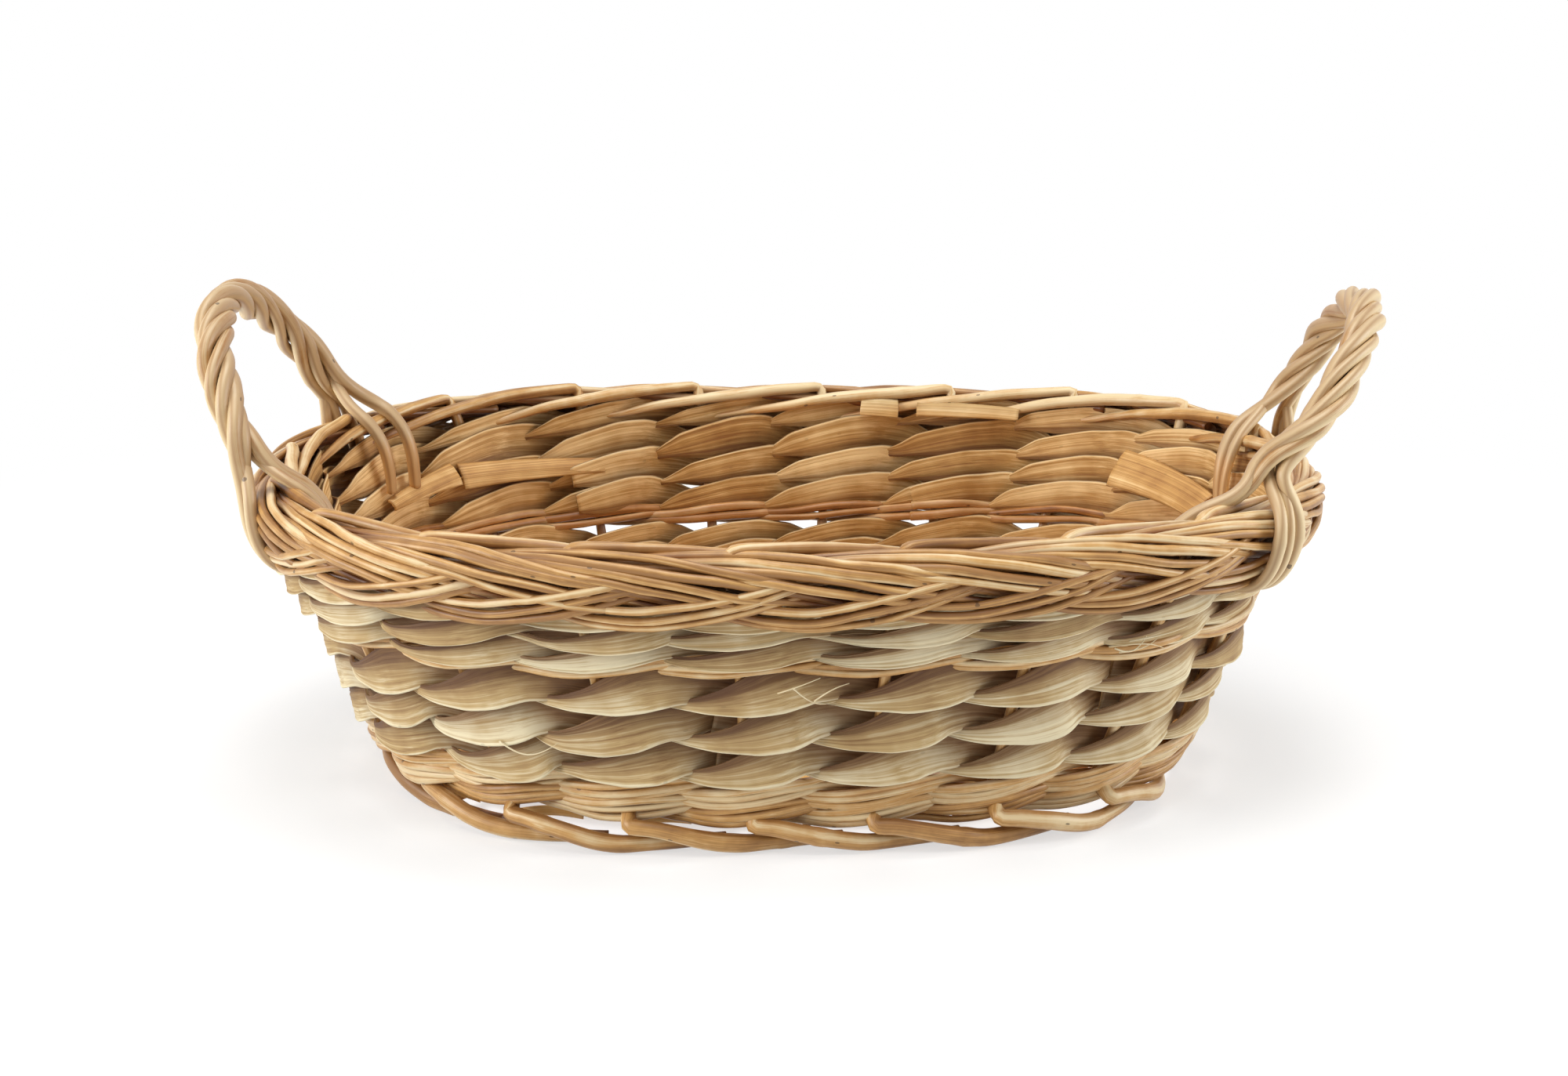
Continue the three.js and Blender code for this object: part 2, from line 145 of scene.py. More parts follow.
def wander(length: Array, rng: np.random.Generator, wave: float, amount: float) -> Array:
    """Makes a slow random drift as the sum of three sines of about the given wavelength.

    Args:
        length: Distances at which the drift is read.
        rng: Source of the phases.
        wave: Middle wavelength.
        amount: Rough greatest value.

    Returns:
        The drift at each distance.
    """
    phases = rng.uniform(0, TURN, 3)
    waves = wave * np.array([0.6, 1.0, 1.9])
    parts = np.sin(length[..., None] / waves * TURN + phases)
    return amount * parts @ np.array([0.25, 0.4, 0.35])


def fibre_start(rng: np.random.Generator) -> float:
    """Gives a random distance along the fibres, so that no two bodies show the same streaks."""
    return float(rng.uniform(0, 900))


# The wall that everything follows


@dataclass(frozen=True)
class Outline:
    """The oval, flared surface through the middle of the stakes.

    At height z the half axes grow from the foot's to the rim's by (z / rim_height) to the power of
    flare. Along a level the outline is a superellipse. u counts the stakes along it, anticlockwise,
    with stake 0 half a spacing past the X axis.

    Attributes:
        foot_length: Length of the foot.
        foot_width: Width of the foot.
        rim_length: Length of the rim.
        rim_width: Width of the rim.
        rim_height: Height of the rim.
        flare: Power by which the wall opens.
        squareness: Power of the superellipse.
        stakes: Number of stakes.
        samples: Points by which the outline's length is measured.
        inside_rate: How fast a point counts as inside, as it moves in by shares of the half axes.
        rim_shade: Depth under the rim where a point starts to count as inside. It does so fully at
            twice that depth.
    """

    foot_length: float = 221.0
    foot_width: float = 154.0
    rim_length: float = 284.0
    rim_width: float = 208.0
    rim_height: float = 86.0
    flare: float = 1.05
    squareness: float = 2.4
    stakes: int = 20
    samples: int = 2880
    inside_rate: float = 60.0
    rim_shade: float = 4.0

    def half_axes(self, z: Array) -> tuple[Array, Array]:
        """Gives the half axes of the outline.

        Args:
            z: Heights.

        Returns:
            The half axes along X and along Y at each height.
        """
        rise = (np.maximum(z, 0) / self.rim_height) ** self.flare
        length = self.foot_length + (self.rim_length - self.foot_length) * rise
        width = self.foot_width + (self.rim_width - self.foot_width) * rise
        return length / 2, width / 2

    def oval(self, theta: Array, half_x: Array, half_y: Array) -> Array:
        """Gives superellipse points: radius = (|cos / a|^n + |sin / b|^n)^(-1/n).

        Args:
            theta: Directions from the middle.
            half_x: The half axis a along X.
            half_y: The half axis b along Y.

        Returns:
            Points of X and Y.
        """
        c, s = np.cos(theta), np.sin(theta)
        power = np.abs(c / half_x) ** self.squareness + np.abs(s / half_y) ** self.squareness
        radius = power ** (-1 / self.squareness)
        return np.stack([radius * c, radius * s], axis=-1)

    @cached_property
    def _marks(self) -> tuple[Array, Array]:
        """Directions round the oval at mid height, and the distance walked to each."""
        theta = np.linspace(0, TURN, self.samples + 1)
        return theta, travelled(self.oval(theta, *self.half_axes(np.array(self.rim_height / 2))))

    @property
    def pitch(self) -> float:
        """Distance between stakes at mid height."""
        return float(self._marks[1][-1] / self.stakes)

    def direction(self, u: Array) -> Array:
        """Turns a count of stakes into a direction that shares the mid-height perimeter evenly.

        Args:
            u: Stake counts.

        Returns:
            The directions from the middle, which grow on past a full turn.
        """
        theta, walked = self._marks
        turns = np.floor((u + 0.5) / self.stakes)
        length = (u + 0.5 - turns * self.stakes) * self.pitch
        return np.interp(length, walked, theta) + turns * TURN

    def point(self, u: Array, z: Array) -> Array:
        """Gives the point of the wall at stake count u and height z."""
        flat = self.oval(self.direction(u), *self.half_axes(z))
        return np.concatenate([flat, np.broadcast_to(z, u.shape)[..., None]], axis=-1)

    def frames(self, u: Array, z: Array) -> tuple[Array, Array, Array]:
        """Gives the unit directions of the wall at places on it.

        Args:
            u: Stake counts.
            z: Heights.

        Returns:
            Directions along the wall, up its slope and square out of it.
        """
        along = unit(self.point(u + 0.05, z) - self.point(u - 0.05, z))
        up = unit(self.point(u, z + 1) - self.point(u, np.maximum(z - 1, 0)))
        return along, up, unit(np.cross(along, up))

    def place(self, u: Array, z: Array, p: Array, level: Array | float = 0.0) -> Array:
        """Gives points at distance p off the wall.

        Args:
            u: Stake counts.
            z: Heights of the foot points on the wall.
            p: Distances outwards.
            level: 0 measures p square to the slope, 1 measures it level.

        Returns:
            The points.
        """
        _, _, out = self.frames(u, z)
        flat = out * np.stack([np.ones_like(u), np.ones_like(u), 1 - level * np.ones_like(u)], axis=-1)
        return self.point(u, z) + unit(flat) * p[..., None]

    def around(self, keys: tuple[tuple[float, float], ...], u: Array) -> Array:
        """Reads values that change on the way round the bowl.

        Args:
            keys: Stake counts, once round the bowl from the back, and values.
            u: Stake counts at which to read.

        Returns:
            The values.
        """
        key = np.array(keys)
        at = np.atleast_1d(np.mod(u - key[0, 0], self.stakes) + key[0, 0])
        return pchip(key[:, 0], key[:, 1], at).reshape(np.shape(u))

    def within(self, points: Array) -> Array:
        """Gives how far points lie inside the wall, which the finishes give painted warm light and shade.

        Args:
            points: Points of X, Y and Z.

        Returns:
            0 on the wall, outside it and at the rim, up to 1 well inside.
        """
        length, width = self.half_axes(points[..., 2])
        power = self.squareness
        share = np.abs(points[..., 0] / length) ** power + np.abs(points[..., 1] / width) ** power
        inside = np.clip((1 - share ** (1 / power)) * self.inside_rate, 0, 1)
        return inside * np.clip((self.rim_height - self.rim_shade - points[..., 2]) / self.rim_shade, 0, 1)


# Sweeps and meshes


@dataclass
class Path:
    """A line in space with a direction that the swept section faces.

    Attributes:
        at: Points of the line.
        face: Rough facing direction at each point.
    """

    at: Array
    face: Array

    @cached_property
    def length(self) -> Array:
        """Distance walked to each point."""
        return travelled(self.at)

    @cached_property
    def heading(self) -> Array:
        """Unit direction of travel at each point."""
        return unit(np.gradient(self.at, axis=0))

    @cached_property
    def square_face(self) -> Array:
        """Facing direction turned square to the travel."""
        lean = np.sum(self.face * self.heading, axis=1, keepdims=True)
        return unit(self.face - lean * self.heading)

    @cached_property
    def side(self) -> Array:
        """Direction across the section, so that side, face and heading are right-handed."""
        return np.cross(self.square_face, self.heading)

    def shifted(self, sideways: Array, outwards: Array) -> "Path":
        """Gives the path that lies beside this one by the given distances at each point."""
        at = self.at + self.side * sideways[:, None] + self.square_face * outwards[:, None]
        return Path(at, self.face)


@dataclass
class Tube:
    """One swept body: a grid of points and what its finish reads.

    Attributes:
        grid: Points, sections by points round each section.
        fibre: Coordinates along and across the fibres at each point.
        tone: How pale the piece is, from -1 to 1, at each point, with any painted highlights and shading.
        depth: Painted shade at the point, from 0 to 1, for how deep it lies in the weave.
        within: How far the point lies inside the wall or faces into it, from 0 to 1, for painted warm shade.
    """

    grid: Array
    fibre: Array
    tone: Array
    depth: Array
    within: Array | None = None


def sweep(path: Path, across: Array, outward: Array, tone: float, depth: Array | float, start: float) -> Tube:
    """Carries a closed section along a path.

    A point is at(i) + side(i) * across(i, j) + face(i) * outward(i, j).

    Args:
        path: The line to follow.
        across: Section coordinates across the face, sections by points.
        outward: Section coordinates along the face.
        tone: How pale the piece is.
        depth: Painted shade of each section, for how deep it lies in the weave.
        start: Where the fibre pattern starts, so that pieces differ.

    Returns:
        The swept body.
    """
    grid = path.at[:, None] + path.side[:, None] * across[..., None]
    grid = grid + path.square_face[:, None] * outward[..., None]
    run = np.broadcast_to((path.length + start)[:, None], across.shape)
    fibre = np.stack([run, across, outward], axis=-1)
    painted_weave_shade = np.broadcast_to(np.asarray(depth, float).reshape(-1, 1), across.shape)
    return Tube(grid, fibre, np.full(across.shape, tone), painted_weave_shade)


def ribbon(outer: Array, inner: Array) -> Array:
    """Closes a ribbon's section: along its outer face, then back along its inner face.

    Args:
        outer: Values across the outer face, along the last axis.
        inner: Values across the inner face. Its two ends are left out, as the outer face has them.

    Returns:
        The values round the section, in the order in which its faces point outwards.
    """
    return np.concatenate([outer, inner[..., -2:0:-1]], axis=-1)[..., ::-1]


def round_section(radius: Array, sides: int, flatness: Array | float = 1.0) -> tuple[Array, Array]:
    """Gives the coordinates of an oval section of the given half widths.

    Args:
        radius: Half width of each section.
        sides: Points round a section.
        flatness: Half height as a share of the half width.

    Returns:
        Coordinates across and outward.
    """
    angle = np.arange(sides) / sides * TURN
    radius = np.asarray(radius)[:, None]
    flat = np.asarray(flatness).reshape(-1, 1)
    return radius * np.cos(angle), radius * flat * np.sin(angle)


def write_mesh(name: str, tubes: list[Tube]) -> bpy.types.Object:
    """Writes swept bodies into one mesh object, with their fibre, tone, depth and within attributes.

    Each section's points are joined to the next section's, and each end is closed by one face.

    Args:
        name: Name of the object and its mesh.
        tubes: The bodies.

    Returns:
        The new object.
    """
    corners, starts, totals, smooth = [], [], [], []
    offset = 0
    loop = 0
    for tube in tubes:
        rows, sides = tube.grid.shape[:2]
        row = np.arange(rows - 1)[:, None] * sides + offset
        k = np.arange(sides)[None]
        after = (k + 1) % sides
        quads = np.stack([row + k, row + after, row + sides + after, row + sides + k], axis=-1)
        quads = quads.reshape(-1, 4)
        corners.append(quads.ravel())
        starts.append(loop + np.arange(len(quads)) * 4)
        totals.append(np.full(len(quads), 4))
        smooth.append(np.ones(len(quads), bool))
        loop += quads.size
        last = offset + (rows - 1) * sides
        corners.append(np.concatenate([offset + np.arange(sides)[::-1], last + np.arange(sides)]))
        starts.append(np.array([loop, loop + sides]))
        totals.append(np.array([sides, sides]))
        smooth.append(np.zeros(2, bool))
        loop += 2 * sides
        offset += rows * sides
    points = np.concatenate([tube.grid.reshape(-1, 3) for tube in tubes]) * MM
    mesh = bpy.data.meshes.new(name)
    mesh.vertices.add(len(points))
    mesh.vertices.foreach_set("co", points.astype(np.float32).ravel())
    mesh.loops.add(loop)
    mesh.loops.foreach_set("vertex_index", np.concatenate(corners).astype(np.int32))
    mesh.polygons.add(sum(len(part) for part in totals))
    mesh.polygons.foreach_set("loop_start", np.concatenate(starts).astype(np.int32))
    mesh.polygons.foreach_set("use_smooth", np.concatenate(smooth))
    fibre = mesh.attributes.new("fibre", "FLOAT_VECTOR", "POINT")
    along = np.concatenate([tube.fibre.reshape(-1, 3) for tube in tubes]) * MM
    fibre.data.foreach_set("vector", along.astype(np.float32).ravel())
    for label in ("tone", "depth", "within"):
        attribute = mesh.attributes.new(label, "FLOAT", "POINT")
        values = np.concatenate([getattr(tube, label).ravel() for tube in tubes])
        attribute.data.foreach_set("value", values.astype(np.float32))
    mesh.update(calc_edges=True)
    mesh.validate()
    piece = bpy.data.objects.new(name, mesh)
    bpy.context.scene.collection.objects.link(piece)
    return piece


# Finishes


# Cells to the metre in which a small dark node can lie, along and across the fibres
NODE_CELLS = (95.0, 230.0, 230.0)
# Radius of a node as a share of its cell, and the share of the cells that have one
NODE_RADIUS = 0.06
NODE_SHARE = 0.14


@dataclass
class Nodes:
    """A short way to write shader nodes into a tree.

    Attributes:
        tree: The tree that new nodes go into.
    """

    tree: bpy.types.NodeTree

    @classmethod
    def cleared(cls, owner: bpy.types.Material | bpy.types.World) -> "Nodes":
        """Empties the node tree of a new material or world."""
        owner.use_nodes = True
        owner.node_tree.nodes.clear()
        return cls(owner.node_tree)

    def add(self, kind: str, inputs: dict | None = None, **settings: object) -> bpy.types.Node:
        """Adds a node.

        Args:
            kind: Blender's name of the node type.
            inputs: Values or output sockets for its inputs, by name or index.
            settings: Properties of the node.

        Returns:
            The node.
        """
        node = self.tree.nodes.new(kind)
        for key, value in settings.items():
            setattr(node, key, value)
        for key, value in (inputs or {}).items():
            if isinstance(value, Socket):
                self.tree.links.new(value, node.inputs[key])
            else:
                node.inputs[key].default_value = value
        return node

    def math(self, operation: str, a: object, b: object = 0.0, clamp: bool = False) -> Socket:
        """Adds a Math node and gives its output."""
        return self.add("ShaderNodeMath", {0: a, 1: b}, operation=operation, use_clamp=clamp).outputs[0]

    def weigh(self, parts: list[tuple[Socket, float]]) -> Socket:
        """Adds up sockets, each multiplied by its weight.

        Args:
            parts: Output sockets and their weights.

        Returns:
            The socket of the sum.
        """
        total = None
        for socket, weight in parts:
            part = self.math("MULTIPLY", socket, weight)
            total = part if total is None else self.math("ADD", total, part)
        return total

    def scaled(self, place: Socket, scale: object) -> Socket:
        """Multiplies a place by a scale, part by part."""
        return self.add("ShaderNodeVectorMath", {0: place, 1: scale}, operation="MULTIPLY").outputs[0]

    def vector(self, x: object, y: object, z: object) -> Socket:
        """Puts three numbers together as a vector."""
        return self.add("ShaderNodeCombineXYZ", {"X": x, "Y": y, "Z": z}).outputs[0]

    def noise(self, place: Socket, scale: float, detail: float, roughness: float) -> Socket:
        """Adds a noise texture with Blender's settings of those names and gives its value."""
        inputs = {"Vector": place, "Scale": scale, "Detail": detail, "Roughness": roughness}
        return self.add("ShaderNodeTexNoise", inputs).outputs["Fac"]

    def seen(self) -> Socket:
        """Gives 1 where the camera or a reflection looks, and 0 for other light."""
        rays = self.add("ShaderNodeLightPath").outputs
        return self.math("MAXIMUM", rays["Is Camera Ray"], rays["Is Glossy Ray"])

    def attribute(self, name: str, output: str = "Fac") -> Socket:
        """Reads one of the piece's own attributes."""
        return self.add("ShaderNodeAttribute", attribute_name=name).outputs[output]

    def ramp(self, factor: Socket, stops: list[tuple[float, tuple]]) -> Socket:
        """Adds a colour ramp.

        Args:
            factor: What the ramp reads.
            stops: Places from 0 to 1 and their colours.

        Returns:
            The socket of its colour.
        """
        node = self.add("ShaderNodeValToRGB", {"Fac": factor})
        ends = node.color_ramp.elements
        while len(ends) < len(stops):
            ends.new(0.5)
        for element, (place, colour) in zip(ends, stops):
            element.position = place
            element.color = (*colour, 1)
        return node.outputs["Color"]

    def mix(self, factor: object, a: object, b: object, blend: str = "MIX") -> Socket:
        """Adds a colour mix.

        Args:
            factor: Share of the second colour, a value or a socket.
            a: First colour or socket.
            b: Second colour or socket.
            blend: Blender's name of the way they mix.

        Returns:
            The socket of the mixed colour.
        """
        node = self.add("ShaderNodeMix", data_type="RGBA", blend_type=blend)
        for index, value in ((0, factor), (6, a), (7, b)):
            if isinstance(value, Socket):
                self.tree.links.new(value, node.inputs[index])
            else:
                node.inputs[index].default_value = value if index == 0 else (*value, 1)
        return node.outputs[2]


def fibre_group() -> bpy.types.NodeTree:
    """Builds the group that draws streaks along the fibres.

    Its inputs are the scales across and along the fibres. It puts out a broad streak mask, a fine
    streak mask, a blotch mask, a mask of small dark nodes and a height.

    Returns:
        The node group.
    """
    group = bpy.data.node_groups.new("plant_fibre", "ShaderNodeTree")
    face = group.interface
    for label, value in (("Across", 900.0), ("Along", 14.0), ("Blotch", 60.0)):
        socket = face.new_socket(name=label, in_out="INPUT", socket_type="NodeSocketFloat")
        socket.default_value = value
    for label in ("Broad", "Fine", "Blotches", "Nodes", "Height"):
        face.new_socket(name=label, in_out="OUTPUT", socket_type="NodeSocketFloat")
    nodes = Nodes(group)
    scales = nodes.add("NodeGroupInput").outputs
    place = nodes.attribute("fibre", "Vector")
    stretched = nodes.scaled(place, nodes.vector(scales["Along"], scales["Across"], scales["Across"]))
    broad = nodes.noise(stretched, scale=1.0, detail=3.0, roughness=0.55)
    fine = nodes.noise(stretched, scale=3.4, detail=4.0, roughness=0.7)
    spread = nodes.scaled(place, nodes.vector(scales["Blotch"], scales["Blotch"], scales["Blotch"]))
    blotch = nodes.noise(spread, scale=1.0, detail=3.0, roughness=0.6)
    height = nodes.weigh([(broad, 0.55), (fine, 0.45)])
    grid = nodes.scaled(place, NODE_CELLS)
    cell = nodes.add("ShaderNodeTexVoronoi", {"Vector": grid, "Scale": 1.0}, voronoi_dimensions="2D")
    chance = nodes.add("ShaderNodeSeparateColor", {"Color": cell.outputs["Color"]}).outputs["Red"]
    near = nodes.math("LESS_THAN", cell.outputs["Distance"], NODE_RADIUS)
    dot = nodes.math("MULTIPLY", near, nodes.math("GREATER_THAN", chance, 1 - NODE_SHARE))
    nodes.add("NodeGroupOutput", {
        "Broad": broad, "Fine": fine, "Blotches": blotch, "Nodes": dot, "Height": height})
    return group


@dataclass(frozen=True)
class Finish:
    """A plant material: its colours from dark to pale, its streaks and its gloss.

    Attributes:
        name: Name of the material.
        slot: The record's slot that it dresses.
        dark: Colour of the darkest streaks.
        middle: Colour between them.
        pale: Colour of the palest streaks.
        painted_weave_shade: Painted shade: the colour that multiplies the colour where the weave lies in
            shade.
        across: Streaks to the metre across the fibres.
        along: Streaks to the metre along them.
        blotch: Blotches to the metre.
        roughness: Middle roughness.
        relief: Height of the streaks in millimetres.
        specks: How strongly the small dark nodes show.
        inner: Painted warm bounce light and shade: what multiplies the colour inside the bowl.
        node_shade: Colour of a node as a share of the dark colour.
        deepest: Share of the painted shade colour that the most shaded point takes.
        uneven_gloss: How much the fine streaks change the roughness.
        weights: Weights of the broad streaks, the fine ones, the blotches and the tone in the colour.
        stops: Sums at which the colour is the dark, the middle and the pale one.
    """

    name: str
    slot: Slot
    dark: tuple[float, float, float]
    middle: tuple[float, float, float]
    pale: tuple[float, float, float]
    painted_weave_shade: tuple[float, float, float]
    across: float
    along: float
    blotch: float
    roughness: float
    relief: float
    specks: float
    inner: tuple[float, float, float] = (1.1, 0.95, 0.78)
    node_shade: float = 0.22
    deepest: float = 0.9
    uneven_gloss: float = 0.2
    weights: tuple[float, float, float, float] = (0.45, 0.4, 0.35, 0.12)
    stops: tuple[float, float, float] = (0.44, 0.6, 0.76)

    def build(self, fibres: bpy.types.NodeTree) -> bpy.types.Material:
        """Writes the finish as a material.

        Args:
            fibres: The streak group.

        Returns:
            The material.
        """
        material = bpy.data.materials.new(self.name)
        nodes = Nodes.cleared(material)
        streak = nodes.add("ShaderNodeGroup", node_tree=fibres)
        for label, value in (("Across", self.across), ("Along", self.along), ("Blotch", self.blotch)):
            streak.inputs[label].default_value = value
        masks = streak.outputs
        parts = (masks["Broad"], masks["Fine"], masks["Blotches"], nodes.attribute("tone"))
        mixed = nodes.weigh(list(zip(parts, self.weights)))
        colour = nodes.ramp(mixed, list(zip(self.stops, (self.dark, self.middle, self.pale))))
        freckle = nodes.math("MULTIPLY", masks["Nodes"], self.specks)
        colour = nodes.mix(freckle, colour, tuple(part * self.node_shade for part in self.dark))
        # Painted warm bounce light and shade inside the bowl, then painted shade where the weave is shaded.
        colour = nodes.mix(nodes.attribute("within"), colour, self.inner, blend="MULTIPLY")
        painted_weave_shade = nodes.math("MULTIPLY", nodes.attribute("depth"), self.deepest, clamp=True)
        colour = nodes.mix(painted_weave_shade, colour, self.painted_weave_shade, blend="MULTIPLY")
        relief = {"Strength": 0.6, "Distance": self.relief * MM, "Height": masks["Height"]}
        bump = nodes.add("ShaderNodeBump", relief)
        uneven = nodes.math("MULTIPLY", masks["Fine"], self.uneven_gloss)
        rough = nodes.math("ADD", uneven, self.roughness - self.uneven_gloss / 2)
        shader = nodes.add("ShaderNodeBsdfPrincipled", {
            "Base Color": colour, "Roughness": rough, "Normal": bump.outputs[0]})
        nodes.add("ShaderNodeOutputMaterial", {"Surface": shader.outputs[0]})
        return material


# Each finish's multiplier for the shaded weave is painted shade; the one for the bowl's inside is painted
# warm light and shade.
WILLOW = Finish(
    "peeled_willow", Slot.WILLOW, dark=(0.34, 0.165, 0.05), middle=(0.61, 0.34, 0.11),
    pale=(0.82, 0.645, 0.375), painted_weave_shade=(0.32, 0.145, 0.055), across=1000, along=10, blotch=110,
    roughness=0.4, relief=0.1, specks=0.7)
LEAF = Finish(
    "dried_leaf", Slot.LEAF, dark=(0.30, 0.16, 0.055), middle=(0.56, 0.385, 0.165),
    pale=(0.89, 0.785, 0.53), painted_weave_shade=(0.25, 0.13, 0.05), across=1100, along=4, blotch=60,
    roughness=0.6, relief=0.4, specks=0.15, inner=(1.1, 0.88, 0.64))
GOLD = Finish(
    "golden_base", Slot.BASE, dark=(0.52, 0.30, 0.08), middle=(0.80, 0.54, 0.19),
    pale=(0.92, 0.73, 0.36), painted_weave_shade=(0.7, 0.5, 0.3), across=700, along=12, blotch=120,
    roughness=0.5, relief=0.12, specks=0.3)


@dataclass
class Workshop:
    """What every sub-assembly needs: the wall, the finishes and a seeded source of variety.

    Attributes:
        wall: The bowl's wall.
        materials: The finished material of each slot.
        seed: Start of every piece's random source.
        flank_shade: Painted shade along a willow rod's flanks and its underside, where rods touch.
        painted_highlight: How much paler a painted highlight along one side of a rod's outer face is.
        painted_highlight_side: Angle between that painted highlight and the middle of the outer face.
        painted_highlight_width: Angle over which the painted highlight fades.
        made: Number of pieces made so far.
    """

    wall: Outline
    materials: dict[Slot, bpy.types.Material]
    seed: int = 11
    flank_shade: float = 0.6
    painted_highlight: float = 1.5
    painted_highlight_side: float = 0.75
    painted_highlight_width: float = 0.4
    made: int = field(default=0, init=False)

    def rng(self, *key: int) -> np.random.Generator:
        """Gives the random source of one piece, the same in every run."""
        return np.random.default_rng([self.seed, *key])

    def finish_piece(self, name: str, tubes: list[Tube], slot: Slot, nodes: list[str]) -> None:
        """Writes a piece, dresses it and ties it to the frame.

        Args:
            name: Name of the piece.
            tubes: Its bodies.
            slot: The slot it takes its finish from.
            nodes: CAD nodes that it stands for.
        """
        for tube in tubes:
            if tube.within is None:
                tube.within = self.wall.within(tube.grid)
        piece = write_mesh(name, tubes)
        piece.data.materials.append(self.materials[slot])
        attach(piece, "root")
        if nodes:
            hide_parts(*nodes)
        self.made += 1
        triangles = sum(2 * t.grid.shape[0] * t.grid.shape[1] for t in tubes)
        log.info("%s: %d bodies, about %d triangles", name, len(tubes), triangles)

    def rod(
        self, path: Path, radius: Array, rng: np.random.Generator, depth: Array | float = 0.0,
        sides: int = 14, paler: float = 0.0) -> Tube:
        """Makes a willow rod: an oval section with a slow swell, a drift, a few knots, painted shade and a
        painted highlight.

        A knot swells the rod by 9 % times exp(-(d / 1.6)^2) at a distance d from it.

        Args:
            path: Its middle line.
            radius: Its half width at each point.
            rng: Source of its irregularity.
            depth: Painted shade for how deep it lies in the weave.
            sides: Points round a section.
            paler: How much paler its willow is than the middle tone.

        Returns:
            The rod.
        """
        length = path.length
        swell = 1 + wander(length, rng, 38, 0.07)
        knots = np.arange(rng.uniform(10, 60), length[-1], rng.uniform(45, 80))
        bumps = np.exp(-(((length[:, None] - knots) / 1.6) ** 2)).sum(axis=1) * 0.09
        drift = path.shifted(wander(length, rng, 33, 0.28), wander(length, rng, 47, 0.12))
        flat = 0.93 + wander(length, rng, 60, 0.06)
        across, outward = round_section(radius * (swell + bumps), sides, flat)
        tone = paler + float(rng.uniform(-1, 1))
        tube = sweep(drift, across, outward, tone, depth, fibre_start(rng))
        self.shade_rod(tube, rng)
        return tube

    def shade_rod(self, tube: Tube, rng: np.random.Generator) -> None:
        """Puts painted shade on a rod's flanks and underside and a painted highlight along one side.

        At an angle a round the section the flanks' share of the painted shade is |cos a|^8 and the
        underside's is -sin a. The highlight fades as exp(-(b / painted_highlight_width)^2) at an angle b from
        it.

        Args:
            tube: The rod.
            rng: Source of the side that the painted highlight lies on.
        """
        sides = tube.grid.shape[1]
        angle = np.arange(sides) / sides * TURN
        # Painted shade on the flanks and the underside.
        shade = np.maximum(np.abs(np.cos(angle)) ** 8, np.clip(-np.sin(angle), 0, 1))
        tube.depth = np.clip(tube.depth + self.flank_shade * shade, 0, 1)
        # A painted highlight along one side of the outer face.
        side = 1 if rng.uniform() < 0.65 else -1
        lit = math.pi / 2 + side * self.painted_highlight_side
        tube.tone = tube.tone + self.painted_highlight * np.exp(-(((angle - lit) / self.painted_highlight_width) ** 2))


# Stakes: the foot roll, the ribs and the plaited border


@dataclass(frozen=True)
class Border:
    """The section of the plaited border, as a curve that the rods' middles follow.

    The curve starts low on the inside, climbs to the crown and runs down the outside.

    Attributes:
        keys: Offsets from the wall and heights along the curve.
        inner_low: Number of the key from which distances along the curve are counted.
    """

    keys: tuple[tuple[float, float], ...] = (
        (-3.4, 73.5), (-4.8, 77.5), (-5.4, 81.0), (-4.6, 83.6), (-1.9, 84.9), (1.6, 84.8),
        (4.3, 83.4), (6.0, 80.8), (6.6, 77.6), (6.5, 74.3), (5.6, 71.0), (4.4, 68.0))
    inner_low: int = 1

    @cached_property
    def _curve(self) -> tuple[Array, Array, Array]:
        """Reads the section finely.

        Returns:
            Distances along it from its inner low key, offsets and heights.
        """
        key = np.array(self.keys)
        walked = travelled(key)
        fine = np.linspace(0, walked[-1], 400)
        offset, height = pchip(walked, key[:, 0], fine), pchip(walked, key[:, 1], fine)
        return travelled(np.stack([offset, height], axis=1)) - walked[self.inner_low], offset, height

    def place(self, s: Array, lift: Array) -> tuple[Array, Array]:
        """Turns places on the section into heights and offsets.

        Args:
            s: Distances along the section.
            lift: Distances off it.

        Returns:
            Heights, and offsets from the wall.
        """
        walked, offset, height = self._curve
        slope_p, slope_z = np.gradient(offset, walked), np.gradient(height, walked)
        tangent_p, tangent_z = np.interp(s, walked, slope_p), np.interp(s, walked, slope_z)
        p = np.interp(s, walked, offset) - tangent_z * lift
        z = np.interp(s, walked, height) + tangent_p * lift
        return z, p


@dataclass
class Levels:
    """Sizes, heights and offsets that the stakes, the rows and the handles share.

    Attributes:
        foot_rod: Thickness of a stake's butt along the foot.
        wall_rod: Thickness of a stake in the wall.
        crown: Height of the border's top.
        border_low: Height of its lower edge.
        border_out: Offset of its outer side.
        border_in: Offset of its inner side.
        row_reach: Offset of the outermost leaf.
    """

    foot_rod: float = 5.0
    wall_rod: float = 3.0
    crown: float = 85.0
    border_low: float = 71.0
    border_out: float = 6.6
    border_in: float = -5.4
    row_reach: float = 3.6


@dataclass(frozen=True)
class BorderRod:
    """One of the rods that a stake's bundle has in the border.

    Attributes:
        lane: Distance from the bundle's middle, across the band.
        low_lane: The same in the scallop at the border's lower edge.
        thick: Width at its start and at its end.
        first: Spacings from the stake at which it starts.
        last: Spacings from the stake at which it ends.
    """

    lane: float
    low_lane: float
    thick: tuple[float, float]
    first: float
    last: float


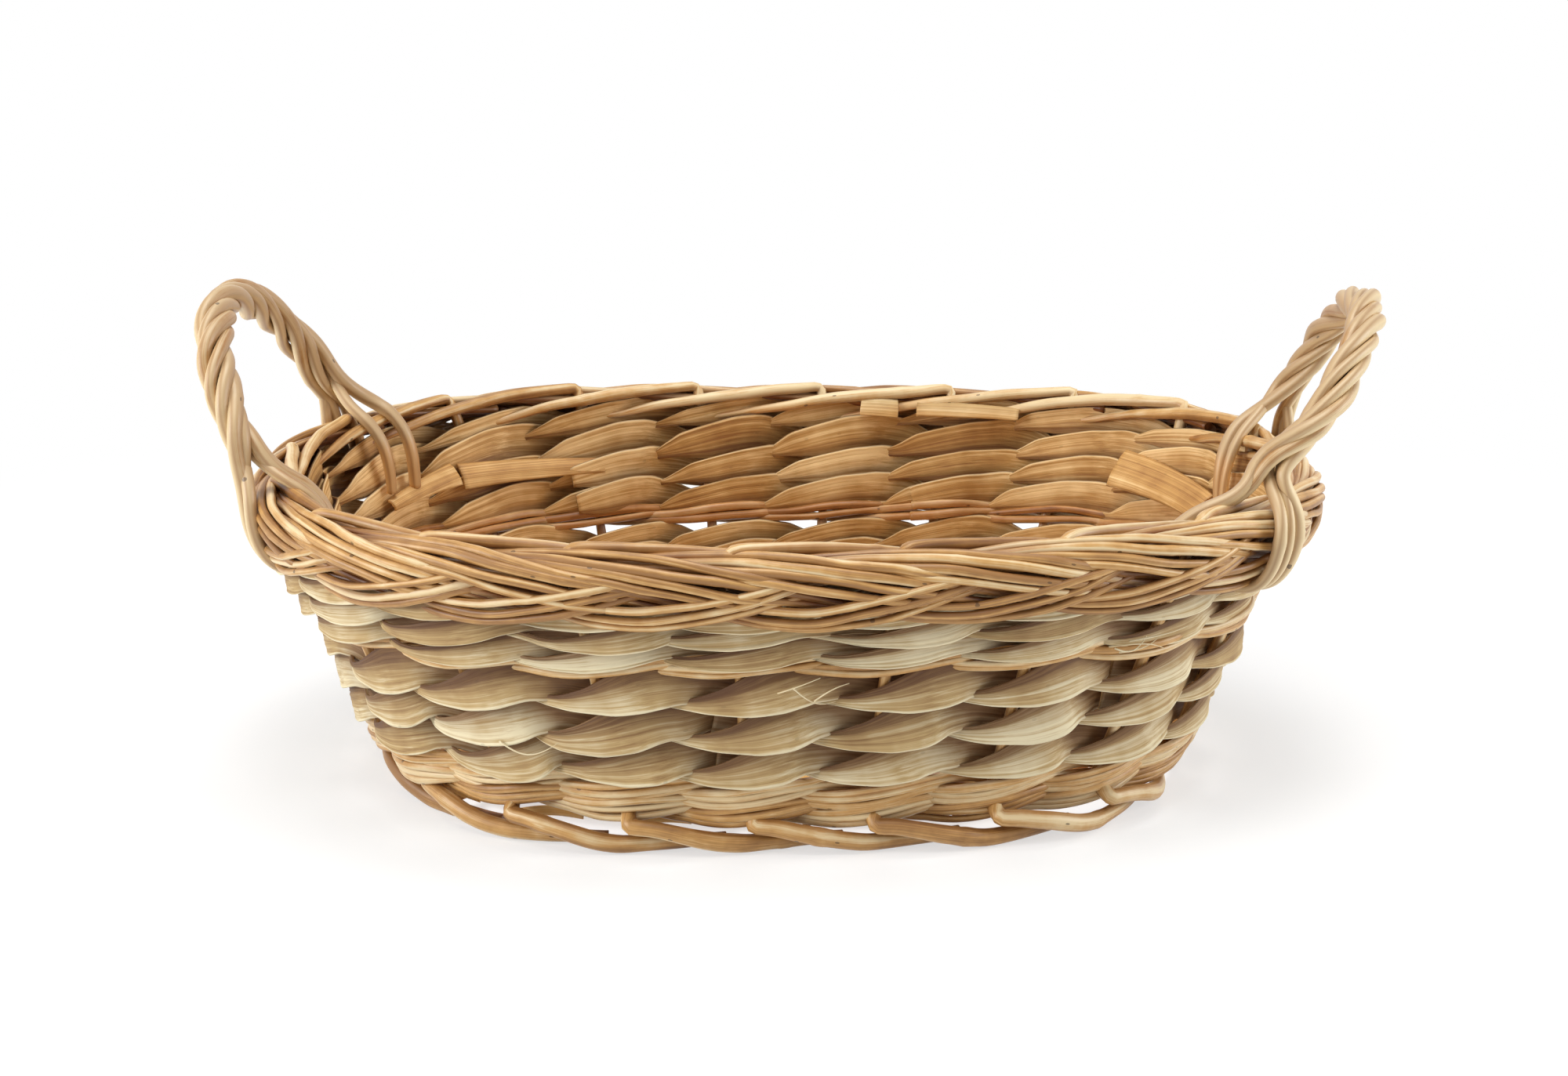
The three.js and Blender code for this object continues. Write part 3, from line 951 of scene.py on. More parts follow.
@dataclass
class Stakes:
    """The stakes, each with the rods that lie beside it in the border.

    Attributes:
        shop: The workshop.
        levels: The shared levels.
        border: The border's section.
        spacing: Distance between the points of a rod's path.
        foot_tuck: Distance inwards that the butt goes in a spacing, past the next stake.
        foot_rise: Height by which the butt starts above the foot's level, to meet its own rib.
        foot_bulge: Stake counts, and how far the foot stands out there.
        rim_rise: Stake counts, and how far the rim rises there.
        rib_heights: Heights of the rib's keys in the wall.
        elbow_keys: Spacings from the stake, distances along the border's section and lifts off it, for
            the stake's own tip.
        bundle_keys: The same for the thinner rods.
        bundle: The thinner rods.
        band_from: Height at which the rods start to face away from the band's core.
        band_over: Height over which they turn.
        core_depth: Depth of that core under the crown.
    """

    shop: Workshop
    levels: Levels
    border: Border = Border()
    spacing: float = 1.5
    foot_tuck: float = 6.5
    foot_rise: float = 5.6
    foot_bulge: tuple[tuple[float, float], ...] = (
        (4.5, 2.2), (9.0, 0.6), (10.8, -1.0), (11.8, 3.4), (12.7, 5.4), (14.1, 3.2), (15.6, 5.8),
        (16.6, 7.6), (17.5, 4.2), (18.5, -2.6), (19.6, -0.6), (21.5, 2.2), (24.5, 2.2))
    rim_rise: tuple[tuple[float, float], ...] = (
        (4.5, -1.5), (6.8, 0.3), (9.5, 0.2), (14.5, 0.0), (17.5, 0.5), (19.5, 0.4), (21.6, 0.2), (22.9, -2.1),
        (24.5, -1.5))
    rib_heights: tuple[float, ...] = (18.0, 38.0, 60.0, 72.0)
    elbow_keys: tuple[tuple[float, float, float], ...] = (
        (0.0, 9.2, -3.0), (0.015, 9.6, 0.2), (0.06, 9.2, 1.0), (0.2, 8.2, 0.9), (0.6, 6.6, 0.6),
        (1.0, 5.2, 0.2), (1.35, 3.4, -0.5), (1.75, 0.9, -1.6), (2.1, -1.6, -2.8))
    bundle_keys: tuple[tuple[float, float, float], ...] = (
        (-0.3, 11.6, -3.6), (0.0, 12.0, -2.8), (0.3, 12.6, -2.0), (0.75, 13.2, -0.4), (1.15, 14.6, 0.7),
        (1.6, 17.2, 1.2), (1.95, 19.4, 1.3), (2.15, 20.8, 0.5), (2.35, 22.2, -0.9), (2.6, 24.2, -1.9),
        (2.9, 26.3, -1.4), (3.15, 27.3, 0.2), (3.4, 27.1, 1.3), (3.65, 25.7, 1.7), (3.9, 23.9, 1.7),
        (4.12, 22.1, 1.2), (4.32, 20.4, -0.3), (4.5, 19.0, -1.8), (4.68, 17.8, -2.6))
    bundle: tuple[BorderRod, ...] = (
        BorderRod(-3.5, -2.1, (2.8, 2.0), -0.3, 4.6),
        BorderRod(-1.2, 0.3, (2.7, 2.0), -0.3, 4.62),
        BorderRod(1.1, 2.6, (2.6, 1.9), -0.3, 4.5),
        BorderRod(3.4, 3.4, (2.4, 2.0), -0.3, 2.72))
    band_from: float = 66.0
    band_over: float = 6.0
    core_depth: float = 6.0

    def foot_keys(self, i: int, rng: np.random.Generator) -> list[tuple[float, float, float, float]]:
        """Gives the keys of the butt, from its end to its stake.

        At t spacings from the stake it lies rise * cos(t 90 degrees)^1.7 above the foot's level.

        Args:
            i: Number of the stake.
            rng: Source of its irregularity.

        Returns:
            Stake count, height, offset and how level the offset is, for each key.
        """
        low = self.levels.foot_rod / 2 + 0.1
        rise = self.foot_rise + rng.uniform(-0.4, 0.5)
        keys = []
        for t in (1.8, 1.6, 1.4, 1.2, 1.0, 0.8, 0.6, 0.4, 0.2, 0.05):
            inner = 0.5 + max(t - 1, 0) * -self.foot_tuck
            bulge = float(self.shop.wall.around(self.foot_bulge, np.array(i + t)))
            bulge += 1.4 * math.sin(min(t, 1) * math.pi)
            lift = rise * math.cos(min(t, 1) * math.pi / 2) ** 1.7
            keys.append((i + t, low + lift, inner + bulge, 1.0))
        return keys

    def follow(self, keys: Array) -> tuple[Path, Array]:
        """Runs a smooth path through keys on the wall.

        In the wall the path faces straight out. In the border it faces away from the band's core.

        Args:
            keys: Stake count, height, offset and levelness of each key.

        Returns:
            The path, and the stake count at each of its points.
        """
        wall = self.shop.wall
        key = np.asarray(keys, float)
        walked = travelled(wall.place(key[:, 0], key[:, 1], key[:, 2], key[:, 3]))
        steps = np.linspace(0, walked[-1], int(walked[-1] / self.spacing) + 1)
        u, z, p, level = (pchip(walked, key[:, column], steps) for column in range(4))
        at = wall.place(u, z, p, level)
        _, up, out = wall.frames(u, z)
        core = self.levels.crown - self.core_depth
        banded = np.clip((z - self.band_from) / self.band_over, 0, 1)[:, None]
        face = unit(up * (z - core)[:, None] + out * (1.4 * p)[:, None])
        return Path(at, unit(face * banded + out * (1.02 - banded))), u

    def band(self, i: int, t: Array, s: Array, lift: Array) -> Array:
        """Turns places in the border into keys on the wall.

        Args:
            i: Number of the stake.
            t: Spacings from it.
            s: Distances along the border's section.
            lift: Distances off the section.

        Returns:
            Stake count, height, offset and levelness of each key.
        """
        z, p = self.border.place(s, lift)
        rise = self.shop.wall.around(self.rim_rise, i + t)
        return np.stack([i + t, z + rise, p, np.zeros_like(z)], axis=1)

    def paler(self, i: int) -> float:
        """Gives how much paler a stake's willow is, as painted light: paler at the back, browner in front."""
        return float(-0.1 + 0.4 * np.sin(self.shop.wall.direction(np.array(float(i + 2)))))

    def elbow(self, i: int, rng: np.random.Generator) -> Tube:
        """Builds the stake itself: foot, rib, sharp elbow at the crown and end on the inside.

        It thins to the wall's thickness from a height of 5 to 17, and thickens again from 74 to 81.

        Args:
            i: Number of the stake.
            rng: Source of its irregularity.

        Returns:
            The stake.
        """
        v = self.levels
        key = np.array(self.elbow_keys)
        walked = key[:, 0] * STAKE_GAP + np.abs(key[:, 2] - key[0, 2]) * 0.5 + np.arange(len(key)) * 1e-3
        fine = np.linspace(0, walked[-1], 60)
        t, s, lift = (pchip(walked, key[:, column], fine) for column in range(3))
        reach = rng.uniform(0.86, 1.06)
        shift = rng.uniform(-0.7, 0.5) * np.clip(t * 4, 0, 1)
        band = self.band(i, t * reach + rng.uniform(-0.04, 0.04), s + shift, lift)
        wall = [(i + 0.02, 12.5, 0, 1.0)] + [(i, z, 0, 0.0) for z in self.rib_heights]
        keys = np.concatenate([np.array(self.foot_keys(i, rng)), np.array(wall, float), band])
        path, u = self.follow(keys)
        height = path.at[:, 2]
        foot = np.clip(1 - (height - 5) / 12, 0, 1)
        crown = np.clip((height - 74) / 7, 0, 1)
        crown_rod = rng.uniform(3.1, 3.9)
        thick = v.wall_rod + (v.foot_rod - v.wall_rod) * foot + (crown_rod - v.wall_rod) * crown
        thick = thick * (1 - 0.4 * np.clip(u - i - 0.9, 0, 1))
        # Painted shade on the stake's end, where it tucks under the border past 1.2 spacings.
        depth = 0.5 * np.clip(u - i - 1.2, 0, 1)
        return self.shop.rod(path, thick / 2, rng, depth, sides=16, paler=self.paler(i))

    def bundle_rod(self, i: int, rod: BorderRod, rng: np.random.Generator) -> Tube:
        """Builds one of the thinner rods that run down the outside and back up as a scallop.

        Args:
            i: Number of its stake.
            rod: Its lanes, thicknesses and ends.
            rng: Source of its irregularity.

        Returns:
            The rod.
        """
        key = np.array(self.bundle_keys)
        last = rod.last + rng.uniform(-0.12, 0.12) * (rod.last < 3)
        t = np.linspace(rod.first, last, 110)
        s, lift = pchip(key[:, 0], key[:, 1], t), pchip(key[:, 0], key[:, 2], t)
        low = eased(np.clip((t - 2.2) / 0.5, 0, 1))
        lane = rod.lane * (1 - low) + rod.low_lane * low
        lane = lane + wander(t * STAKE_GAP, rng, 90, 0.75)
        slide = rng.uniform(-0.05, 0.05)
        keys = self.band(i, t + slide, s + lane, lift + wander(t * STAKE_GAP, rng, 70, 0.3))
        path, u = self.follow(keys)
        radius = np.linspace(rod.thick[0], rod.thick[1], len(path.at)) / 2 * rng.uniform(0.9, 1.1)
        # Painted shade where the rod sinks below the border's section, under the rods over it.
        under = np.clip((0.5 - np.interp(u - i - slide, t, lift)) / 2.2, 0, 1)
        return self.shop.rod(path, radius, rng, 0.75 * under, sides=14, paler=self.paler(i) - 0.15)

    def build_stake(self, i: int) -> None:
        """Builds one stake with its thinner rods, as one piece.

        Args:
            i: Number of the stake.
        """
        rng = self.shop.rng(1, i)
        tubes = [self.elbow(i, rng)] + [self.bundle_rod(i, rod, rng) for rod in self.bundle]
        self.shop.finish_piece(f"willow_stake_{i + 1:02d}", tubes, Slot.WILLOW, [f"stake_{i + 1:02d}"])

    def build(self) -> None:
        """Builds all stakes."""
        for i in range(self.shop.wall.stakes):
            self.build_stake(i)


# Twined rows


@dataclass(frozen=True)
class Row:
    """One twined row of the wall, which lies a little lower at the back than at the front.

    Attributes:
        node: CAD name of the row, without its strand.
        middle: Height of its middle at the front and at the back.
        tall: Height that it takes up in the wall, at the front and at the back.
        leaf: True for broad leaf, False for thin willow rods.
        start: Stake at which its first strand starts.
    """

    node: str
    middle: tuple[float, float]
    tall: tuple[float, float]
    leaf: bool
    start: int


@dataclass(frozen=True)
class LeafTurn:
    """The shape of a leaf strand over two stakes, from the inside of one past the outside of the next.

    Keys start with t, the spacings from the stake that the strand passes outside.

    Attributes:
        offset_keys: Offsets from the wall as shares of the strand's reach. The other half follows from
            offset(t - 1) = -offset(t).
        lower_keys: Heights of the lower edge from the row's middle, in row heights.
        upper_keys: The same for the upper edge.
        upright: Lean of the leaf at a stake, in degrees.
        tilt: What is added to it halfway between stakes.
        shown_from: The t at which the outer face comes out from behind a stake, and its painted shade ends.
        shown_to: The t at which it goes behind the next, and its painted shade starts.
        going: Spacings over which it comes out or goes, and that shade fades.
    """

    offset_keys: tuple[tuple[float, float], ...] = (
        (0, 1), (0.12, 0.97), (0.27, 0.74), (0.4, 0.36), (0.5, 0), (0.62, -0.42), (0.8, -0.86), (1, -1))
    lower_keys: tuple[tuple[float, float], ...] = (
        (-1, -0.5), (-0.72, -0.38), (-0.5, -0.43), (0.04, -0.6), (0.28, -0.47), (0.5, -0.27), (0.7, -0.3),
        (1, -0.5))
    upper_keys: tuple[tuple[float, float], ...] = (
        (-1, 0.56), (-0.8, 0.36), (-0.65, 0.04), (-0.5, -0.28), (-0.3, -0.12), (-0.1, 0.12), (0.06, 0.4),
        (0.24, 0.74), (0.5, 0.9), (0.75, 0.8), (1, 0.56))
    upright: float = 12.0
    tilt: float = 12.0
    shown_from: float = -0.62
    shown_to: float = 0.4
    going: float = 0.3

    def read(self, keys: tuple[tuple[float, float], ...], t: Array) -> Array:
        """Reads a row of keys in straight lines and rounds its corners a little.

        Args:
            keys: Places t and values.
            t: Where to read.

        Returns:
            The values.
        """
        key = np.array(keys)
        line = np.interp(t, key[:, 0], key[:, 1])
        line[1:-1] = (line[:-2] + 2 * line[1:-1] + line[2:]) / 4
        return line

    def offset(self, t: Array) -> Array:
        """Gives the share of the reach at which the strand lies outside, from 1 to -1."""
        key = np.array(self.offset_keys, float)
        return np.where(t < 0, -1, 1) * pchip(key[:, 0], key[:, 1], np.where(t < 0, t + 1, t))

    def hidden(self, t: Array) -> Array:
        """Gives how far the outer face has gone behind a stake, from 0 where it is open to 1, for its painted
        shade.
        """
        hidden = np.maximum(self.shown_from - t, t - self.shown_to) / self.going
        return np.clip(hidden, 0, 1)


@dataclass(frozen=True)
class LeafSection:
    """The section of a leaf, where x runs from -1 at its lower edge to 1 at its upper edge.

    Attributes:
        half: Half thickness in the middle.
        ridges: Rates in x and heights of the ridges along the leaf.
        pleat_rate: Rate in x of the fine pleats that some leaves have.
        pleat: Height of the pleats.
        crease: Height of a crease that comes and goes.
        crease_width: Its half width in x.
        crease_drift: How far in x it moves from the middle.
        lip: Height by which the edges are thicker.
        lip_at: Where a lip is thickest, in x.
        lip_width: Its half width in x, which the painted highlight along the free edge shares.
        curl: How far the edge that lies free curls away from the wall.
        dent: Height of slow dents.
        bulge: Height of the arch across the leaf where it stands out furthest.
    """

    half: float = 0.36
    ridges: tuple[tuple[float, float], ...] = ((4.0, 0.09), (11.0, 0.05), (27.0, 0.04))
    pleat_rate: float = 21.0
    pleat: float = 0.1
    crease: float = 0.45
    crease_width: float = 0.07
    crease_drift: float = 0.2
    lip: float = 0.14
    lip_at: float = 0.95
    lip_width: float = 0.06
    curl: float = 0.7
    dent: float = 0.2
    bulge: float = 0.35


@dataclass(frozen=True)
class Unevenness:
    """How much each leaf or rod of a strand differs from the next, from one stake to another.

    Attributes:
        turn: Spacings by which it comes out early or late.
        lower: Share by which its lower edge changes.
        upper: Share by which its upper edge changes.
        reach: Distance by which it stands off more or less.
        height: Distance by which it lies higher or lower.
        lean: Degrees by which it leans more or less.
        pleated: Greatest strength of its pleats. Below zero it has none.
        tone: Change of its tone.
        rod_reach: The same as reach, for a willow rod.
        rod_size: Share by which a willow rod's thickness changes.
    """

    turn: float = 0.1
    lower: float = 0.12
    upper: float = 0.1
    reach: float = 0.4
    height: float = 0.45
    lean: float = 4.5
    pleated: float = 1.3
    tone: float = 0.6
    rod_reach: float = 0.2
    rod_size: float = 0.15


@dataclass
class TwinedRows:
    """The twined pairs of leaf and willow that fill the wall.

    Attributes:
        shop: The workshop.
        levels: The shared levels.
        shape: How a leaf strand turns round the stakes.
        section: Its section.
        uneven: How its leaves differ.
        steps: Points along a strand in a spacing.
        lanes: Points across a leaf's face.
        lap: Spacings by which a strand laps its own start at each end.
        lap_step: How far inwards the lapped end of a leaf steps.
        rod_lap_step: The same for a willow rod.
        strand_step: Stakes from the start of a strand to that of its partner, an odd number.
        sag: Stake counts, and how far the lowest rows hang down there.
        swing: How far a leaf strand rises and falls between stakes, in row heights.
        leaf_reach: Offset of a leaf's middle at a stake.
        thinnest: Least distance from a leaf's middle to its edge.
        left_push: How far a leaf stands out more at the left end: low in the wall, and the growth up it.
        right_draw: How far a leaf is drawn in at the right end, the same way.
        high_from: Height of the rows at which that growth starts.
        high_over: Height over which it is complete.
    """

    shop: Workshop
    levels: Levels
    shape: LeafTurn = LeafTurn()
    section: LeafSection = LeafSection()
    uneven: Unevenness = Unevenness()
    steps: int = 30
    lanes: int = 21
    lap: float = 0.2
    lap_step: float = 2.2
    rod_lap_step: float = 2.4
    strand_step: int = 3
    sag: tuple[tuple[float, float], ...] = (
        (4.5, 0.0), (12.4, -0.5), (13.6, 1.0), (15.0, 2.0), (17.2, 2.7), (18.5, 0.6), (20.0, 0.0),
        (24.5, 0.0))
    swing: float = 0.28
    leaf_reach: float = 2.7
    thinnest: float = 0.8
    left_push: tuple[float, float] = (1.0, 2.6)
    right_draw: tuple[float, float] = (0.3, 1.8)
    high_from: float = 52.0
    high_over: float = 12.0

    def rows(self) -> list[Row]:
        """Lists the rows.

        Returns:
            The rows from the foot upwards. Each starts three stakes on from the one below.
        """
        listed = [
            ("willow_foot_row_1", (13.0, 11.6), (2.5, 2.4), False),
            ("willow_foot_row_2", (18.0, 16.4), (2.5, 2.4), False),
            ("leaf_row_1", (26.8, 23.4), (10.6, 8.0), True),
            ("leaf_row_2", (37.4, 31.4), (10.7, 8.0), True),
            ("leaf_row_3", (48.0, 37.5), (10.6, 7.6), True),
            ("willow_middle_row", (54.8, 46.6), (2.2, 3.0), False),
            ("leaf_row_4", (59.2, 50.8), (6.6, 8.6), True),
            ("leaf_row_5", (65.0, 59.0), (6.4, 8.6), True),
            ("leaf_row_6", (70.8, 67.2), (6.2, 10.0), True),
            ("leaf_row_7", (75.6, 75.4), (5.6, 7.4), True)]
        return [Row(*values, index * 3 + 5) for index, values in enumerate(listed)]

    def turn(self, row: Row, strand: int) -> tuple[Array, Array, Array, Array, Array]:
        """Samples a strand once round the bowl.

        A row sags in full up to a height of 13.2 and not at all from 37.2.

        Args:
            row: The row.
            strand: 0 or 1.

        Returns:
            Stake counts, twining angles, heights of the row's middle, heights that the row takes up,
            and how far the lapped end steps inwards, from 0 to 1.
        """
        wall = self.shop.wall
        start = row.start + strand * self.strand_step
        end = start + wall.stakes
        u = np.linspace(start - self.lap, end + self.lap, int((wall.stakes + 2 * self.lap) * self.steps))
        angle = math.pi * (u - start + 1)
        behind = (1 + np.sin(wall.direction(u))) / 2
        sag = wall.around(self.sag, u) * np.clip(1.55 - row.middle[0] / 24, 0, 1)
        middle = between(row.middle, behind) - sag
        tall = between(row.tall, behind)
        return u, angle, middle, tall, eased(np.clip((u - (end - 0.45)) / 0.3, 0, 1))

    def per_stake(self, u: Array, rng: np.random.Generator, amount: float) -> Array:
        """Gives a random value to each stake and changes it halfway between stakes.

        Args:
            u: Rising stake counts at which the values are read.
            rng: Source of the values.
            amount: Greatest value, above or below zero.

        Returns:
            The value at each stake count.
        """
        first = int(np.floor(u[0])) - 1
        values = rng.uniform(-amount, amount, int(u[-1]) - first + 3)
        k = np.floor(u).astype(int) - first
        t = eased(np.clip((u - np.floor(u) - 0.5) * 2.5 + 0.5, 0, 1))
        return values[k] * (1 - t) + values[k + 1] * t

    def pushed(self, row: Row, u: Array) -> Array:
        """Gives how far a row's leaves stand out more at the bowl's two ends.

        With the cosine c of the direction it is push * c^2 at the left end and -draw * c^2 at the right.
        Both grow with the height of the row.

        Args:
            row: The row.
            u: Stake counts.

        Returns:
            The distances outwards.
        """
        end = np.cos(self.shop.wall.direction(u))
        high = np.clip((row.middle[0] - self.high_from) / self.high_over, 0, 1)
        push = self.left_push[0] + self.left_push[1] * high
        draw = self.right_draw[0] + self.right_draw[1] * high
        return push * np.clip(-end, 0, 1) ** 2 - draw * np.clip(end, 0, 1) ** 2

    def faces(
        self, u: Array, share: Array, x: Array, run: Array,
        rng: np.random.Generator) -> tuple[Array, Array, Array]:
        """Gives the heights of a leaf's faces off its middle surface.

        The body is half * sqrt(1 - x^8). The outer face adds ridges, pleats, a crease and lips, and
        both faces follow an arch of bulge * (1 - x^2), the dents and the curl of the free edge.

        Args:
            u: Stake counts of the sections.
            share: Offsets of the sections as shares of the reach.
            x: Places across the leaf.
            run: Distances along the leaf.
            rng: Source of its irregularity.

        Returns:
            Heights of the outer and the inner face, and the pleats from -1 to 1, sections by places.
        """
        leaf = self.section
        body = leaf.half * np.sqrt(np.clip(1 - x**8, 0.08, 1))
        fold = wander(run, rng, 60, 1.0)[:, None]
        ridge = sum(
            np.sin(x * rate + rng.uniform(0, TURN) + wander(run, rng, 75, 0.7)[:, None]) * size
            for rate, size in leaf.ridges)
        pleated = np.clip(self.per_stake(u, rng, self.uneven.pleated), 0, 1)[:, None]
        phase = rng.uniform(0, TURN) + wander(run, rng, 90, 0.7)[:, None]
        pleats = np.sin(x * leaf.pleat_rate + phase) * pleated
        crease = np.exp(-(((x - leaf.crease_drift * fold) / leaf.crease_width) ** 2))
        crease = leaf.crease * np.clip(fold, 0, 1) * crease
        lip = np.exp(-(((np.abs(x) - leaf.lip_at) / leaf.lip_width) ** 2)) * leaf.lip
        outside, inside = np.clip(share, 0, 1)[:, None], np.clip(-share, 0, 1)[:, None]
        curl = leaf.curl * (np.clip(-x, 0, 1) ** 3 * outside - np.clip(x, 0, 1) ** 3 * inside)
        dent = wander(run, rng, 25, leaf.dent)[:, None] * (1 - x**2)
        bulge = leaf.bulge * (1 - x**2) * share[:, None] + dent + curl
        outer = body + ridge + crease + lip + bulge + leaf.pleat * pleats
        inner = -body + 0.7 * ridge - lip + bulge
        return outer, inner, pleats

    def dress_leaf(
        self, tube: Tube, u: Array, t: Array, x: Array, pleats: Array, rng: np.random.Generator) -> None:
        """Writes what the finish reads into a leaf strand.

        The part of a face that lies under the leaf above it gets painted shade that grows towards the edge,
        as the square of its place, and so does the face that goes behind a stake. The free edge gets a
        painted highlight, the face is paler where free and darker where tucked as painted light and shade,
        the pleats get painted light on their crests and painted shade in their troughs, and the inner face
        takes the bowl's painted warm light and shade.

        Args:
            tube: The strand.
            u: Stake counts of its sections.
            t: Spacings of the sections from the stake that they pass outside.
            x: Places across the leaf.
            pleats: Its pleats, from -1 to 1.
            rng: Source of its irregularity.
        """
        lanes = ribbon(x, x)
        front = ribbon(np.ones_like(x), np.zeros_like(x))
        back = 1 - front
        # Painted shade where a face goes behind a stake: the outer face by t, the inner face by the other
        # half.
        other = np.where(t < 0, t + 1, t - 1)
        going_in = self.shape.hidden(t)[:, None] * front + self.shape.hidden(other)[:, None] * back
        # Painted shade on the part of each face under the next leaf, growing towards that edge.
        tucked = np.clip((lanes * (2 * front - 1) + 1) / 1.45, 0, 1) ** 2
        crevice_shade = 0.95 * tucked * front + 0.55 * tucked**2 * back
        tube.depth = np.clip(crevice_shade + (0.35 + 0.42 * front) * going_in, 0, 1)
        # The inner face takes the finish's painted warm light and shade of the bowl's inside.
        tube.within = np.broadcast_to(back, tube.depth.shape)
        # A painted highlight along the free edge: the outer face's lower edge, the inner face's upper edge.
        width = self.section.lip_width
        edge = np.exp(-(((lanes + 1) / width) ** 2)) * front + np.exp(-(((lanes - 1) / width) ** 2)) * back
        # Painted light on the pleats' crests and painted shade in their troughs.
        tube.tone = tube.tone + 0.5 * ribbon(pleats, pleats)
        tone = self.per_stake(u, rng, self.uneven.tone)[:, None]
        # Each stake's own tone, plus the painted edge highlight, and painted light where the face is free and
        # shade where it is tucked.
        tube.tone = tube.tone + tone + 2.8 * edge + 0.7 * (0.5 - tucked)

    def leaf_strand(self, row: Row, strand: int, key: int) -> None:
        """Builds one leaf strand, a flat ribbon that leans like a roof shingle all the way round.

        The middle line is p = reach * offset(t), z = middle + swing * height * sin(pi t). The edges
        follow the turn's keys: each leaf comes out at a low point on the left, drops to a corner at
        its stake, and lies over the last one along a line that climbs to the right.

        Args:
            row: The row.
            strand: 0 or 1.
            key: Number of the row, for its random source.
        """
        rng = self.shop.rng(2, key, strand)
        wall, shape, uneven = self.shop.wall, self.shape, self.uneven
        u, angle, middle, tall, lapped = self.turn(row, strand)
        t = np.mod(angle / math.pi + self.per_stake(u, rng, uneven.turn) + 1, 2) - 1
        rise = self.swing * tall * np.sin(math.pi * t)
        share = shape.offset(t)
        lower = rise - shape.read(shape.lower_keys, t) * tall * (1 + self.per_stake(u, rng, uneven.lower))
        upper = shape.read(shape.upper_keys, t) * tall * (1.04 + self.per_stake(u, rng, uneven.upper)) - rise
        p = (self.leaf_reach + self.per_stake(u, rng, uneven.reach)) * share - lapped * self.lap_step
        p = p + self.pushed(row, u) * np.clip(0.6 + share, 0, 1)
        z = middle + rise + self.per_stake(u, rng, uneven.height)
        lean = shape.upright + shape.tilt * np.abs(np.sin(angle)) ** 1.5 + self.per_stake(u, rng, uneven.lean)
        lean = np.radians(lean * (1 - 0.35 * np.cos(wall.direction(u)) ** 4))
        lower, upper = (np.maximum(edge, self.thinnest) / np.cos(lean) for edge in (lower, upper))
        _, up, out = wall.frames(u, z)
        path = Path(wall.place(u, z, p), out * np.cos(lean)[:, None] + up * np.sin(lean)[:, None])
        even = np.linspace(-1, 1, self.lanes)
        x = -np.cos(np.linspace(0, math.pi, self.lanes)) * 0.4 + 0.6 * even
        across = np.where(x[None] < 0, lower[:, None], upper[:, None]) * x
        outer, inner, pleats = self.faces(u, share, x, path.length, rng)
        tone = float(rng.uniform(-0.3, 0.5))
        tube = sweep(path, ribbon(across, across), ribbon(outer, inner), tone, 0.0, fibre_start(rng))
        tube.fibre[..., 1] = ribbon(x, x) * float(tall.mean()) / 2
        self.dress_leaf(tube, u, t, x, pleats, rng)
        name = f"{row.node}_strand_{strand + 1}"
        self.shop.finish_piece(f"dressed_{name}", [tube], Slot.LEAF, [name])

    def willow_strand(self, row: Row, strand: int, key: int) -> None:
        """Builds one willow strand of thin rods side by side, twined as p = reach * cos(angle).

        The two rows at the foot have three rods to a strand and swing more, the middle row has two.

        Args:
            row: The row.
            strand: 0 or 1.
            key: Number of the row, for its random source.
        """
        rng = self.shop.rng(3, key, strand)
        wall = self.shop.wall
        u, angle, middle, tall, lapped = self.turn(row, strand)
        at_foot = key < 2
        swing = 1.7 if at_foot else 1.0
        tubes = []
        for lane in (-0.95, 0, 0.95) if at_foot else (-0.5, 0.5):
            reach = self.levels.wall_rod / 2 + 1.1 + 0.25 * lane
            p = reach * np.cos(angle) + self.per_stake(u, rng, self.uneven.rod_reach)
            p = p - lapped * self.rod_lap_step
            spread = lane * tall * (0.6 + 0.35 * np.abs(np.cos(angle)))
            z = middle + swing * np.sin(angle) + spread + wander(u * STAKE_GAP, rng, 110, 0.5)
            _, _, out = wall.frames(u, z)
            radius = tall * 0.44 * (1 + self.per_stake(u, rng, self.uneven.rod_size))
            tubes.append(self.shop.rod(Path(wall.place(u, z, p), out), radius, rng, sides=10))
        name = f"{row.node}_strand_{strand + 1}"
        self.shop.finish_piece(f"dressed_{name}", tubes, Slot.WILLOW, [name])

    def build(self) -> None:
        """Builds both strands of every row."""
        for key, row in enumerate(self.rows()):
            for strand in range(2):
                if row.leaf:
                    self.leaf_strand(row, strand, key)
                else:
                    self.willow_strand(row, strand, key)


# Handles


